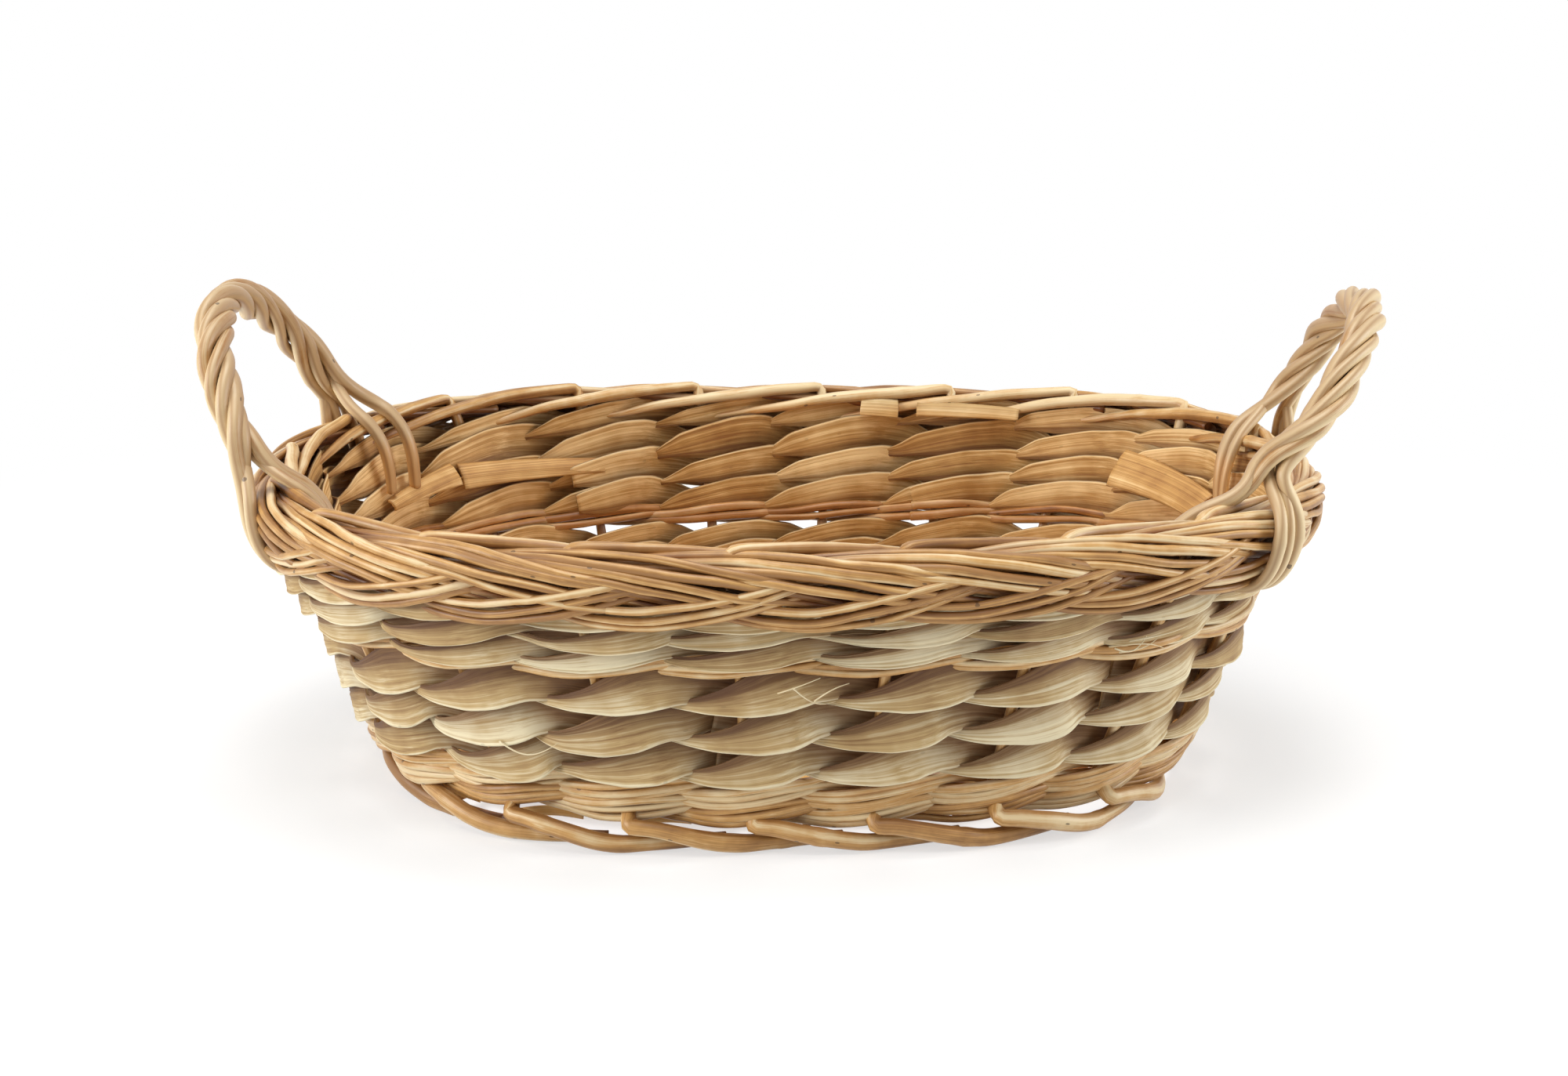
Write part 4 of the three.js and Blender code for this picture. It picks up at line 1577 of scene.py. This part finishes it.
@dataclass
class Handle:
    """A rope of willow rods that stands on the rim and parts into its rods at both feet.

    Attributes:
        shop: The workshop.
        levels: The shared levels.
        end: The end of the bowl it stands at, right or left.
        feet: Stake counts of its first and its second foot.
        lean: Distance outwards that it leans for each unit of its rise.
        skew: Distance that its top stands towards the second foot.
        drifts: Distances along the wall by which the inner rods end away from each foot.
        kink: Heights, as shares of the rise, and how far the first leg is pushed outwards there.
        twist: Power that spreads the turns along the rope. Above 1 the first leg has fewer.
        loosen: Share by which the rope is thicker at its first foot.
        stand_off: Gap between the border and the rods that run down outside it.
        inner_gaps: Half distances between the two rods inside, in rods, at each foot.
        rods: Number of rods.
        rod_size: Thickness of a rod.
        rise: Height of the arch.
        roundness: Powers of the superellipse that the two legs follow.
        foot_out: Offset of the feet from the wall.
        turns: Number of turns of the rope.
        split: Heights above the feet at which each leg parts.
        firm_passes: Passes that soften a rod everywhere.
        foot_passes: Further passes near its two tips.
        foot_length: Distance from a tip up to which these count in full.
        foot_fade: Distance over which they fade.
        tip_share: Thickness of a tip as a share of the rod's.
        tip_length: Distance over which a rod thins to it.
        paler: How much paler the ropes' willow is than the middle tone.
        darker_flanks: What the painted shade of its flanks and underside is multiplied by.
    """

    shop: Workshop
    levels: Levels
    end: str
    feet: tuple[float, float]
    lean: float
    skew: float
    drifts: tuple[float, float]
    kink: tuple[tuple[float, float], ...] = ((0, 0), (1, 0))
    twist: float = 1.0
    loosen: float = 0.0
    stand_off: float = 2.6
    inner_gaps: tuple[float, float] = (0.5, 0.5)
    rods: int = 5
    rod_size: float = 3.7
    rise: float = 44.5
    roundness: tuple[float, float] = (2.1, 2.1)
    foot_out: float = 2.2
    turns: float = 2.6
    split: tuple[float, float] = (7.0, 7.0)
    firm_passes: int = 8
    foot_passes: int = 34
    foot_length: float = 40.0
    foot_fade: float = 25.0
    tip_share: float = 0.88
    tip_length: float = 30.0
    paler: float = 1.7
    darker_flanks: float = 1.2

    @property
    def rope_radius(self) -> float:
        """Radius of the ring that the rods' middles lie on."""
        return self.rod_size / 2 / math.sin(math.pi / self.rods) * 0.97

    def arch(self) -> tuple[Array, Array, Array]:
        """Gives the rope's middle line, the direction square to the arch, and the third direction.

        The arch is half a superellipse that leans outwards as it rises, cut off at the split. With the
        angle s from one foot to the other it is along = reach |cos s|^(2 / n), height = rise |sin s|^(2 / n).

        Returns:
            Points, directions square to the arch and directions away from its middle.
        """
        v = self.levels
        heights, offsets = np.full(2, v.crown + 1), np.full(2, self.foot_out)
        feet = self.shop.wall.place(np.array(self.feet), heights, offsets, 1.0)
        centre = feet.mean(axis=0)
        flat = feet[1] - feet[0]
        reach = float(np.linalg.norm(flat)) / 2
        flat = unit(flat)
        out = np.cross(flat, UP)
        s = np.linspace(0, math.pi, 321)
        power = 2 / np.where(np.cos(s) > 0, *self.roundness)
        along = -np.sign(np.cos(s)) * np.abs(np.cos(s)) ** power * reach
        height = np.abs(np.sin(s)) ** power * self.rise
        along = along + self.skew * height / self.rise
        pushed = pchip(*np.array(self.kink, float).T, height / self.rise) * np.clip(0.5 - along / reach, 0, 1)
        at = centre + flat * along[:, None] + (UP + self.lean * out) * height[:, None]
        at = at + out * pushed[:, None]
        at = at[height > np.where(along < 0, *self.split)]
        walked = travelled(at)
        even = np.linspace(0, walked[-1], 161)
        at = np.stack([np.interp(even, walked, at[:, k]) for k in range(3)], axis=1)
        heading = unit(np.gradient(at, axis=0))
        square = np.broadcast_to(unit(np.cross(flat, UP + self.lean * out)), at.shape)
        return at, square, np.cross(square, heading)

    def leg(self, leg: int, spot: float, outside: bool, rng: np.random.Generator) -> Array:
        """Gives points down a leg for one rod.

        Args:
            leg: -1 for the first leg, 1 for the second.
            spot: The rod's place beside its neighbours, in rods from the middle.
            outside: True where it runs down outside the border and tucks under it.
            rng: Source of its irregularity.

        Returns:
            Points from the rope downwards.
        """
        v = self.levels
        half = self.rod_size / 2
        u = self.feet[0 if leg < 0 else 1]
        step = (self.rod_size + 0.2) / STAKE_GAP
        if outside:
            outer = v.border_out + self.stand_off + half
            low = v.border_low - 2.2 - half
            keys = np.array([
                (v.crown + 5, outer - 4.5, 1.0), (v.crown - 0.5, outer - 1.4, 1.1), (v.crown - 6, outer, 1.0),
                (low + 5, outer - 0.4, 0.9), (low + 1.2, outer - 2.2, 0.85), (low - 0.2, outer - 5.0, 0.8),
                (low + 0.2, v.row_reach + 0.6, 0.8)])
            return self.shop.wall.place(u + spot * step * keys[:, 2], keys[:, 0], keys[:, 1])
        drift = self.drifts[0 if leg < 0 else 1] / STAKE_GAP
        inner = v.border_in - 0.8 - half - rng.uniform(0.4, 2.2)
        keys = np.array([
            (v.crown + 4, inner * 0.35, 0.2), (v.crown, inner * 0.9, 0.5), (v.crown - 6, inner - 0.6, 0.85),
            (v.crown - 14, inner, 1.0), (v.crown - 22, -v.row_reach - half, 1.05)])
        return self.shop.wall.place(u + spot * step * 1.1 + drift * keys[:, 2], keys[:, 0], keys[:, 1])

    def rod_path(self, k: int, rng: np.random.Generator) -> Path:
        """Gives the path of one rod: up one leg, round the rope and down the other leg.

        Round the arch the rod lies at radius (cos a, sin a), and its angle a turns with the way along.
        Two of five rods run down inside the border, at each foot those that come by on that side.

        Args:
            k: Number of the rod.
            rng: Source of its irregularity.

        Returns:
            The path.
        """
        at, square, away = self.arch()
        part = np.linspace(0, 1, len(at))
        turned = round(self.turns * self.rods)
        loose = wander(part * 130, rng, 45, 0.2)
        angle = -(k + part**self.twist * turned) / self.rods * TURN + loose
        radius = self.rope_radius * (1 + wander(part * 130, rng, 30, 0.16)) + 0.3 * (-1) ** k
        radius = radius * (1 + self.loosen * np.clip(1 - part / 0.45, 0, 1) ** 0.7)
        rope = at + (square * np.cos(angle)[:, None] + away * np.sin(angle)[:, None]) * radius[:, None]
        spots = {0: (0, True), 1: (1, True), 4: (-1, True), 2: (1, False), 3: (-1, False)}
        ends = []
        for leg, place, inner_gap in ((-1, -k, self.inner_gaps[0]), (1, -(k + turned), self.inner_gaps[1])):
            spot, outside = spots[place % self.rods]
            spot = spot if outside else spot * inner_gap
            ends.append(self.leg(leg, spot * -leg, outside, rng))
        points = np.concatenate([ends[0][::-1], rope[3:-3:3], ends[1]])
        even, line = evened(points, 1.2)
        firm = self.softened(line, self.firm_passes)
        from_tip = np.minimum(even, even[-1] - even)
        share = np.clip((from_tip - self.foot_length) / self.foot_fade, 0, 1)[:, None]
        line = self.softened(firm, self.foot_passes) * (1 - share) + firm * share
        out = np.broadcast_to(square[0], line.shape)
        return Path(line, out + np.array([0, 0, 0.01]))

    def softened(self, line: Array, passes: int) -> Array:
        """Softens the bends of a line, as p(i) becomes (p(i - 1) + 2 p(i) + p(i + 1)) / 4.

        Args:
            line: Points, one per row.
            passes: How many times.

        Returns:
            The softened points. The two ends stay.
        """
        soft = line.copy()
        for _ in range(passes):
            soft[1:-1] = (soft[:-2] + 2 * soft[1:-1] + soft[2:]) / 4
        return soft

    def build(self) -> None:
        """Builds the rods of the rope, each a piece."""
        for k in range(self.rods):
            rng = self.shop.rng(4, len(self.end), k)
            path = self.rod_path(k, rng)
            from_tip = np.minimum(path.length, path.length[-1] - path.length)
            thin = self.tip_share + (1 - self.tip_share) * np.clip(from_tip / self.tip_length, 0, 1)
            radius = thin * self.rod_size / 2 * rng.uniform(0.86, 1.12)
            tube = self.shop.rod(path, radius, rng, sides=16, paler=self.paler)
            # Deeper painted shade on the rope's flanks and underside.
            tube.depth = np.clip(tube.depth * self.darker_flanks, 0, 1)
            node = f"{self.end}_handle_rod_{k + 1}"
            self.shop.finish_piece(f"{self.end}_rope_rod_{k + 1}", [tube], Slot.WILLOW, [node])


# Loose ends


@dataclass(frozen=True)
class LeafEnd:
    """A cut end of leaf that lies flat on the wall.

    Attributes:
        along: Stake counts of its two ends.
        heights: Heights of its two ends.
        offset: Distance of its middle from the wall, below zero on the inside.
        widths: Widths of its two ends.
        tone: Lightness, from -1 to 1.
    """

    along: tuple[float, float]
    heights: tuple[float, float]
    offset: float
    widths: tuple[float, float]
    tone: float


@dataclass
class LooseEnds:
    """The cut leaf ends inside the wall and the loose fibres outside it.

    Attributes:
        shop: The workshop.
        ends: The cut ends.
        thick: Thickness of a cut end.
        arch: Height of the arch across it.
        bow: How far its middle stands off the wall.
        fibres: Stake count and height at which each loose fibre starts.
        fibre_off: Offset of a fibre's ends, just clear of the leaves.
        fibre_bow: How much further its middle stands off.
        fibre_half: Half thickness of a fibre.
    """

    shop: Workshop
    ends: tuple[LeafEnd, ...] = (
        LeafEnd((0.2, 1.4), (60.5, 64.5), -5.4, (9.5, 13.5), -0.2),
        LeafEnd((7.25, 8.05), (64.0, 59.5), -5.2, (8.0, 4.0), 0.1),
        LeafEnd((5.9, 7.2), (62.0, 63.0), -4.6, (5.0, 9.0), -0.3),
        LeafEnd((3.42, 3.72), (77.0, 77.6), -6.0, (6.8, 6.0), -0.1),
        LeafEnd((2.4, 3.26), (76.6, 77.2), -6.0, (4.4, 5.6), 0.0))
    thick: float = 0.7
    arch: float = 0.9
    bow: float = 0.8
    fibres: tuple[tuple[float, float], ...] = (
        (14.25, 50.5), (14.5, 48.0), (14.35, 52.0), (16.55, 57.5), (16.6, 56.0), (16.65, 59.0), (16.5, 58.2),
        (12.2, 33.0))
    fibre_off: float = 5.6
    fibre_bow: float = 1.6
    fibre_half: float = 0.24

    def leaf_end(self, end: LeafEnd, rng: np.random.Generator) -> Tube:
        """Builds one flat end, cut square, with an arch of arch * (1 - x^2) across it.

        Args:
            end: Its place, widths and tone.
            rng: Source of its irregularity.

        Returns:
            The end.
        """
        part = np.linspace(0, 1, 30)
        u = between(end.along, part)
        z = between(end.heights, part)
        wall = self.shop.wall
        at = wall.place(u, z, end.offset - self.bow * np.sin(math.pi * part))
        _, up, out = wall.frames(u, z)
        path = Path(at, unit(0.35 * up - out))
        x = np.linspace(-1, 1, 15)
        half = between(end.widths, part)[:, None] / 2
        arch = self.arch * (1 - x**2) + 0.08 * np.sin(x * 7 + rng.uniform(0, TURN))
        across = half * ribbon(x, x)
        outward = np.broadcast_to(ribbon(arch + self.thick / 2, arch - self.thick / 2), across.shape)
        return sweep(path, across, outward, end.tone, 0.0, fibre_start(rng))

    def fibre(self, along: float, height: float, rng: np.random.Generator) -> Tube:
        """Builds one thin fibre that has come loose from a leaf and bows off it by a half sine.

        Args:
            along: Stake count at which it starts.
            height: Height at which it starts.
            rng: Source of its length and bends.

        Returns:
            The fibre.
        """
        part = np.linspace(0, 1, 26)
        length = rng.uniform(0.2, 0.6)
        u = along + length * part
        z = height + rng.uniform(-5, 5) * part + rng.uniform(-2.5, 2.5) * np.sin(math.pi * part)
        _, _, out = self.shop.wall.frames(u, z)
        path = Path(self.shop.wall.place(u, z, self.fibre_off + self.fibre_bow * np.sin(math.pi * part)), out)
        across, outward = round_section(self.fibre_half * (1 - 0.6 * part), 6)
        return sweep(path, across, outward, 1.0, 0.0, fibre_start(rng))

    def build(self) -> None:
        """Builds the flat ends and the loose fibres."""
        rng = self.shop.rng(8)
        tubes = [self.leaf_end(end, rng) for end in self.ends]
        self.shop.finish_piece("cut_leaf_ends", tubes, Slot.LEAF, [])
        tubes = [self.fibre(along, height, rng) for along, height in self.fibres]
        self.shop.finish_piece("loose_leaf_fibres", tubes, Slot.LEAF, [])


# Base


@dataclass
class Base:
    """The cross of sticks and the leaf weavers of the base, and the golden skeins at its edge.

    Attributes:
        shop: The workshop.
        levels: The shared levels.
        stick: Thickness of a stick.
        gap: Clearance between sticks and leaves.
        long_sticks: Number of sticks along the bowl.
        cross_sticks: Number of sticks across it.
        cross_spacing: Distance between these.
        fan: Angle between the tips of the long sticks.
        inset: Distance from the wall's middle surface in to the tips.
        rest: Height at which the sticks rest, as a share of the foot rod's thickness.
        clear: What is added to it.
        ramp: Length over which a cross stick climbs over the long ones.
        butt_past: Spacings that a stake's butt runs past its neighbour.
        butt_tuck: Distance inwards that it goes in a spacing.
        leaf_width: Width of a weaver.
        leaf_thick: Thickness of a weaver.
        rounds: Rounds that each weaver makes.
        steps: Points of a weaver between two spokes.
        skeins: For each skein of a spacing: where it starts, its first height, its fall and its width.
        skein_run: Spacings that a skein covers.
        skein_in: How far inside the wall it starts, and how much further in it ends.
        skein_arch: How much it arches upwards.
    """

    shop: Workshop
    levels: Levels
    stick: float = 3.6
    gap: float = 0.3
    long_sticks: int = 3
    cross_sticks: int = 5
    cross_spacing: float = 20.0
    fan: float = 0.5
    inset: float = 2.8
    rest: float = 0.809
    clear: float = 0.7
    ramp: float = 4.0
    butt_past: float = 0.75
    butt_tuck: float = 5.4
    leaf_width: float = 6.6
    leaf_thick: float = 1.4
    rounds: int = 4
    steps: int = 12
    skeins: tuple[tuple[float, float, float, float], ...] = (
        (0.22, 13.0, 7.0, 3.2), (0.55, 8.2, -3.6, 1.3), (0.0, 5.9, -1.4, 3.4))
    skein_run: float = 0.62
    skein_in: tuple[float, float] = (1.9, 1.2)
    skein_arch: float = 1.2

    @property
    def level(self) -> float:
        """Height of the sticks' middles."""
        return self.levels.foot_rod * self.rest + self.clear + self.stick / 2

    @property
    def spokes(self) -> int:
        """Number of spokes, two to a stick."""
        return 2 * (self.long_sticks + self.cross_sticks)

    def spoke(self, k: int) -> tuple[Array, Array]:
        """Gives the ends of a spoke. Its tip lies on the oval that is inset from the wall.

        Args:
            k: Number of the spoke, counted anticlockwise.

        Returns:
            X and Y of its inner and its outer end.
        """
        wall = self.shop.wall
        turn = k % self.spokes
        half = -1 if turn >= self.spokes // 2 else 1
        j = turn % (self.spokes // 2)
        a, b = (float(axis) - self.inset for axis in wall.half_axes(np.array(self.level)))
        end = (self.cross_sticks - 1) / 2 * self.cross_spacing
        step = self.stick + self.gap
        if j < self.long_sticks:
            row = j - (self.long_sticks - 1) / 2
            tip = wall.oval(np.array(row * self.fan), a, b)
            return np.array([half * (end + self.cross_spacing / 2), half * row * step]), half * tip
        x = end - (j - self.long_sticks) * self.cross_spacing
        y = b * (1 - abs(x / a) ** wall.squareness) ** (1 / wall.squareness)
        hub = self.long_sticks / 2 * step + self.stick
        return np.array([half * x, half * hub]), np.array([half * x, half * y])

    def stick_path(self, points: list[tuple[float, float, float]]) -> Path:
        """Runs a smooth path through a stick's points."""
        _, at = evened(np.array(points, float), 2)
        return Path(at, np.broadcast_to(UP, at.shape))

    def build_sticks(self) -> None:
        """Builds the long sticks and the cross sticks that arch over them."""
        z = self.level
        for j in range(self.long_sticks):
            right, left = self.spoke(j), self.spoke(self.spokes // 2 + self.long_sticks - 1 - j)
            path = self.stick_path([(*end, z) for end in (left[1], left[0], right[0], right[1])])
            self.add_stick(path, f"base_long_stick_{j + 1}", j)
        over = z + self.stick + self.gap
        ramp = np.array([0, self.ramp])
        for j in range(self.cross_sticks):
            back, front = self.spoke(self.long_sticks + j), self.spoke(self.spokes - 1 - j)
            path = self.stick_path([
                (*front[1], z), (*(front[0] - ramp), z), (*front[0], over), (*back[0], over),
                (*(back[0] + ramp), z), (*back[1], z)])
            self.add_stick(path, f"base_cross_stick_{j + 1}", 10 + j)

    def add_stick(self, path: Path, node: str, key: int) -> None:
        """Builds one stick.

        Args:
            path: Its middle line.
            node: The CAD node that it replaces.
            key: Number of its random source.
        """
        rng = self.shop.rng(5, key)
        tube = self.shop.rod(path, np.full(len(path.at), self.stick / 2), rng, sides=12)
        self.shop.finish_piece(f"dressed_{node}", [tube], Slot.BASE, [node])

    def build_weavers(self) -> None:
        """Builds the two leaf weavers."""
        for strand in range(2):
            rng = self.shop.rng(6, strand)
            path = self.weaver_path(strand)
            x = np.linspace(-1, 1, 9)
            body = np.sqrt(np.clip(1 - x**2, 0.03, 1)) * self.leaf_thick / 2
            ridge = 0.1 * np.sin(x * 9 + rng.uniform(0, 9))
            across = ribbon(x, x) * self.leaf_width / 2
            shape = (len(path.at), len(across))
            outward = np.broadcast_to(ribbon(body + ridge, -body), shape)
            # A tone of 0.2 and painted shade of 0.2 all along the weaver.
            tube = sweep(path, np.broadcast_to(across, shape), outward, 0.2, 0.2, 40.0 * strand)
            node = f"base_leaf_weaver_{strand + 1}"
            self.shop.finish_piece(f"dressed_{node}", [tube], Slot.BASE, [node])

    def weaver_path(self, strand: int) -> Path:
        """Gives the way of a weaver, which spirals outwards over one spoke and under the next.

        At spoke k its height is level + reach * cos(pi (k + strand)), and its share of the way out
        grows evenly with k, from just past the hub to just short of the stakes' butts.

        Args:
            strand: 0 or 1.

        Returns:
            The path.
        """
        reach = self.stick / 2 + self.gap + self.leaf_thick / 2
        butt = self.butt_past * self.butt_tuck + self.levels.foot_rod / 2
        k = np.arange(self.rounds * self.spokes + 1)
        ends = np.array([self.spoke(int(one)) for one in k])
        inner, outer = ends[:, 0], ends[:, 1]
        span = np.linalg.norm(outer - inner, axis=1)
        room = self.leaf_width / 2 + 1
        first = room / span
        last = 1 - (room + butt - self.inset) / span
        lane = (k / self.spokes * 2 + strand + 0.5) / (self.rounds * 2 + 2)
        flat = inner + (outer - inner) * (first + (last - first) * lane)[:, None]
        fine = np.linspace(0, k[-1], k[-1] * self.steps + 1)
        x, y = (pchip(k.astype(float), flat[:, axis], fine) for axis in range(2))
        at = np.stack([x, y, self.level + reach * np.cos(math.pi * (fine + strand))], axis=1)
        return Path(at, np.broadcast_to(UP, at.shape))

    def build_skeins(self) -> None:
        """Builds the golden skeins that bind the base's edge and show below the lowest row."""
        wall = self.shop.wall
        tubes = []
        for i in range(wall.stakes):
            rng = self.shop.rng(7, i)
            for first, top, fall, width in self.skeins:
                first = first + rng.uniform(-0.1, 0.1)
                part = np.linspace(0, 1, 24)
                u = i + first + (self.skein_run + rng.uniform(-0.08, 0.08)) * part
                z = top + rng.uniform(-0.6, 0.6) - fall * part + self.skein_arch * np.sin(math.pi * part)
                p = -self.skein_in[0] - self.skein_in[1] * part + rng.uniform(-0.3, 0.3)
                _, _, out = wall.frames(u, z)
                path = Path(wall.place(u, z, p, 1.0), out)
                across, outward = round_section(np.full(len(part), width / 2), 12, 0.26)
                tone = float(rng.uniform(-0.2, 1))
                tubes.append(sweep(path, across, outward, tone, 0.0, fibre_start(rng)))
        self.shop.finish_piece("golden_edge_skeins", tubes, Slot.BASE, [])

    def build(self) -> None:
        """Builds the whole base."""
        self.build_sticks()
        self.build_weavers()
        self.build_skeins()


# Studio


@dataclass(frozen=True)
class Lamp:
    """A round soft lamp that is aimed at the bowl.

    Attributes:
        name: Its name.
        place: Its place in metres.
        size: Its diameter in metres.
        power: Its power in watts.
        colour: Its colour.
    """

    name: str
    place: tuple[float, float, float]
    size: float
    power: float
    colour: tuple[float, float, float] = (1.0, 1.0, 1.0)


@dataclass(frozen=True)
class Studio:
    """The camera at the photograph's angle, the floor and the soft lights.

    Attributes:
        distance: Distance of the camera from the point it aims at, in millimetres.
        elevation: Degrees that it stands above level.
        azimuth: Degrees that it stands round from the bowl's long side.
        aim_height: Height of that point.
        focal_pixels: Focal length in pixels of the photograph.
        image: Width and height of the photograph in pixels.
        centre: Where the camera's axis meets it, from the left and from the top.
        sensor: Width of the camera's sensor.
        floor_half: Half width of the floor in metres.
        fade: Distances from the middle between which the floor fades to white, in metres.
        room_light: Strength of the even light from all sides.
        lamps: The lamps.
    """

    distance: float = 719.9
    elevation: float = 16.306
    azimuth: float = 4.038
    aim_height: float = 45.0
    focal_pixels: float = 3227.9
    image: tuple[float, float] = (2000.0, 1373.0)
    centre: tuple[float, float] = (1003.6, 761.3)
    sensor: float = 36.0
    floor_half: float = 6.0
    fade: tuple[float, float] = (0.24, 0.48)
    room_light: float = 0.18
    lamps: tuple[Lamp, ...] = (
        Lamp("key", (-0.3, -0.8, 1.9), 1.0, 12.4, (1.0, 0.985, 0.95)),
        Lamp("left_side", (-1.5, -0.45, 0.55), 0.9, 17.0),
        Lamp("right_side", (1.5, -0.25, 0.55), 0.9, 12.0),
        Lamp("top", (0.05, 0.1, 1.9), 1.0, 16.0))

    def camera(self) -> None:
        """Places the camera and makes it the scene's."""
        el, az = math.radians(self.elevation), math.radians(self.azimuth)
        forward = Vector((math.sin(az) * math.cos(el), math.cos(az) * math.cos(el), -math.sin(el)))
        right = Vector((math.cos(az), -math.sin(az), 0))
        up = right.cross(forward)
        data = bpy.data.cameras.new("camera")
        data.sensor_fit = "HORIZONTAL"
        data.sensor_width = self.sensor
        width, height = self.image
        data.lens = self.focal_pixels / width * self.sensor
        data.shift_x = -(self.centre[0] - width / 2) / width
        data.shift_y = (self.centre[1] - height / 2) / width
        camera = bpy.data.objects.new("camera", data)
        place = (Vector((0, 0, self.aim_height)) - forward * self.distance) * MM
        turn = Matrix((right, up, -forward)).transposed().to_4x4()
        camera.matrix_world = Matrix.Translation(place) @ turn
        bpy.context.scene.collection.objects.link(camera)
        bpy.context.scene.camera = camera

    def backdrop(self) -> None:
        """Makes the floor, which the camera sees as white apart from the shadows on it."""
        mesh = bpy.data.meshes.new("floor")
        half = self.floor_half
        corners = [(-half, -half, 0), (half, -half, 0), (half, half, 0), (-half, half, 0)]
        mesh.from_pydata(corners, [], [(0, 1, 2, 3)])
        floor = bpy.data.objects.new("floor", mesh)
        bpy.context.scene.collection.objects.link(floor)
        material = bpy.data.materials.new("floor")
        nodes = Nodes.cleared(material)
        seen = nodes.seen()
        plain = nodes.add("ShaderNodeBsdfDiffuse", {"Color": (0.86, 0.86, 0.86, 1)})
        glow = nodes.add("ShaderNodeEmission", {"Color": (1, 1, 1, 1), "Strength": 0.62})
        shaded = nodes.add("ShaderNodeBsdfDiffuse", {"Color": (0.42, 0.42, 0.42, 1)})
        near = nodes.add("ShaderNodeAddShader", {0: shaded.outputs[0], 1: glow.outputs[0]})
        far = nodes.add("ShaderNodeEmission", {"Color": (1, 1, 1, 1), "Strength": 1.0})
        place = nodes.add("ShaderNodeTexCoord").outputs["Object"]
        away = nodes.add("ShaderNodeVectorMath", {0: place}, operation="LENGTH").outputs["Value"]
        span = {"Value": away, "From Min": self.fade[0], "From Max": self.fade[1]}
        fade = nodes.add("ShaderNodeMapRange", span, interpolation_type="SMOOTHSTEP")
        shown = nodes.add("ShaderNodeMixShader", {0: fade.outputs[0], 1: near.outputs[0], 2: far.outputs[0]})
        mix = nodes.add("ShaderNodeMixShader", {0: seen, 1: plain.outputs[0], 2: shown.outputs[0]})
        nodes.add("ShaderNodeOutputMaterial", {"Surface": mix.outputs[0]})
        mesh.materials.append(material)

    def lights(self) -> None:
        """Sets the lamps, and a world that the camera sees as white."""
        aim = Vector((0, 0, 0.05))
        for lamp in self.lamps:
            data = bpy.data.lights.new(lamp.name, "AREA")
            data.shape = "DISK"
            data.size = lamp.size
            data.energy = lamp.power
            data.color = lamp.colour
            light = bpy.data.objects.new(lamp.name, data)
            light.location = lamp.place
            light.rotation_euler = (aim - Vector(lamp.place)).to_track_quat("-Z", "Y").to_euler()
            bpy.context.scene.collection.objects.link(light)
        world = bpy.data.worlds.new("white_room")
        bpy.context.scene.world = world
        nodes = Nodes.cleared(world)
        seen = nodes.seen()
        dim = nodes.add("ShaderNodeBackground", {"Color": (1, 1, 1, 1), "Strength": self.room_light})
        white = nodes.add("ShaderNodeBackground", {"Color": (1, 1, 1, 1), "Strength": 1.0})
        mix = nodes.add("ShaderNodeMixShader", {0: seen, 1: dim.outputs[0], 2: white.outputs[0]})
        nodes.add("ShaderNodeOutputWorld", {"Surface": mix.outputs[0]})

    def build(self) -> None:
        """Builds the whole studio."""
        bpy.context.scene.view_settings.view_transform = "Standard"
        self.camera()
        self.backdrop()
        self.lights()


def main() -> None:
    """Builds the bowl piece by piece in the studio."""
    logging.basicConfig(level=logging.INFO, format="%(name)s: %(message)s", stream=sys.stdout)
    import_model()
    Studio().build()
    fibres = fibre_group()
    materials = {finish.slot: finish.build(fibres) for finish in (WILLOW, LEAF, GOLD)}
    shop = Workshop(Outline(), materials)
    levels = Levels()
    Stakes(shop, levels).build()
    TwinedRows(shop, levels).build()
    kink = ((0, -5.8), (0.24, -6.6), (0.5, -0.4), (0.7, 1.2), (1, 2.0))
    Handle(
        shop, levels, "right", feet=(17.62, 20.14), lean=0.52, skew=4.8, drifts=(-24, -9), kink=kink,
        stand_off=3.6).build()
    Handle(
        shop, levels, "left", feet=(7.93, 10.33), lean=0.44, skew=2.2, drifts=(-3, 7), split=(11.0, 6.0),
        rise=44.0, rod_size=4.0, roundness=(1.78, 2.15), twist=1.2, loosen=0.1, stand_off=1.3,
        inner_gaps=(1.25, 0.5)).build()
    LooseEnds(shop).build()
    Base(shop, levels).build()
    log.info("%d pieces", shop.made)


if __name__ == "__main__":
    main()
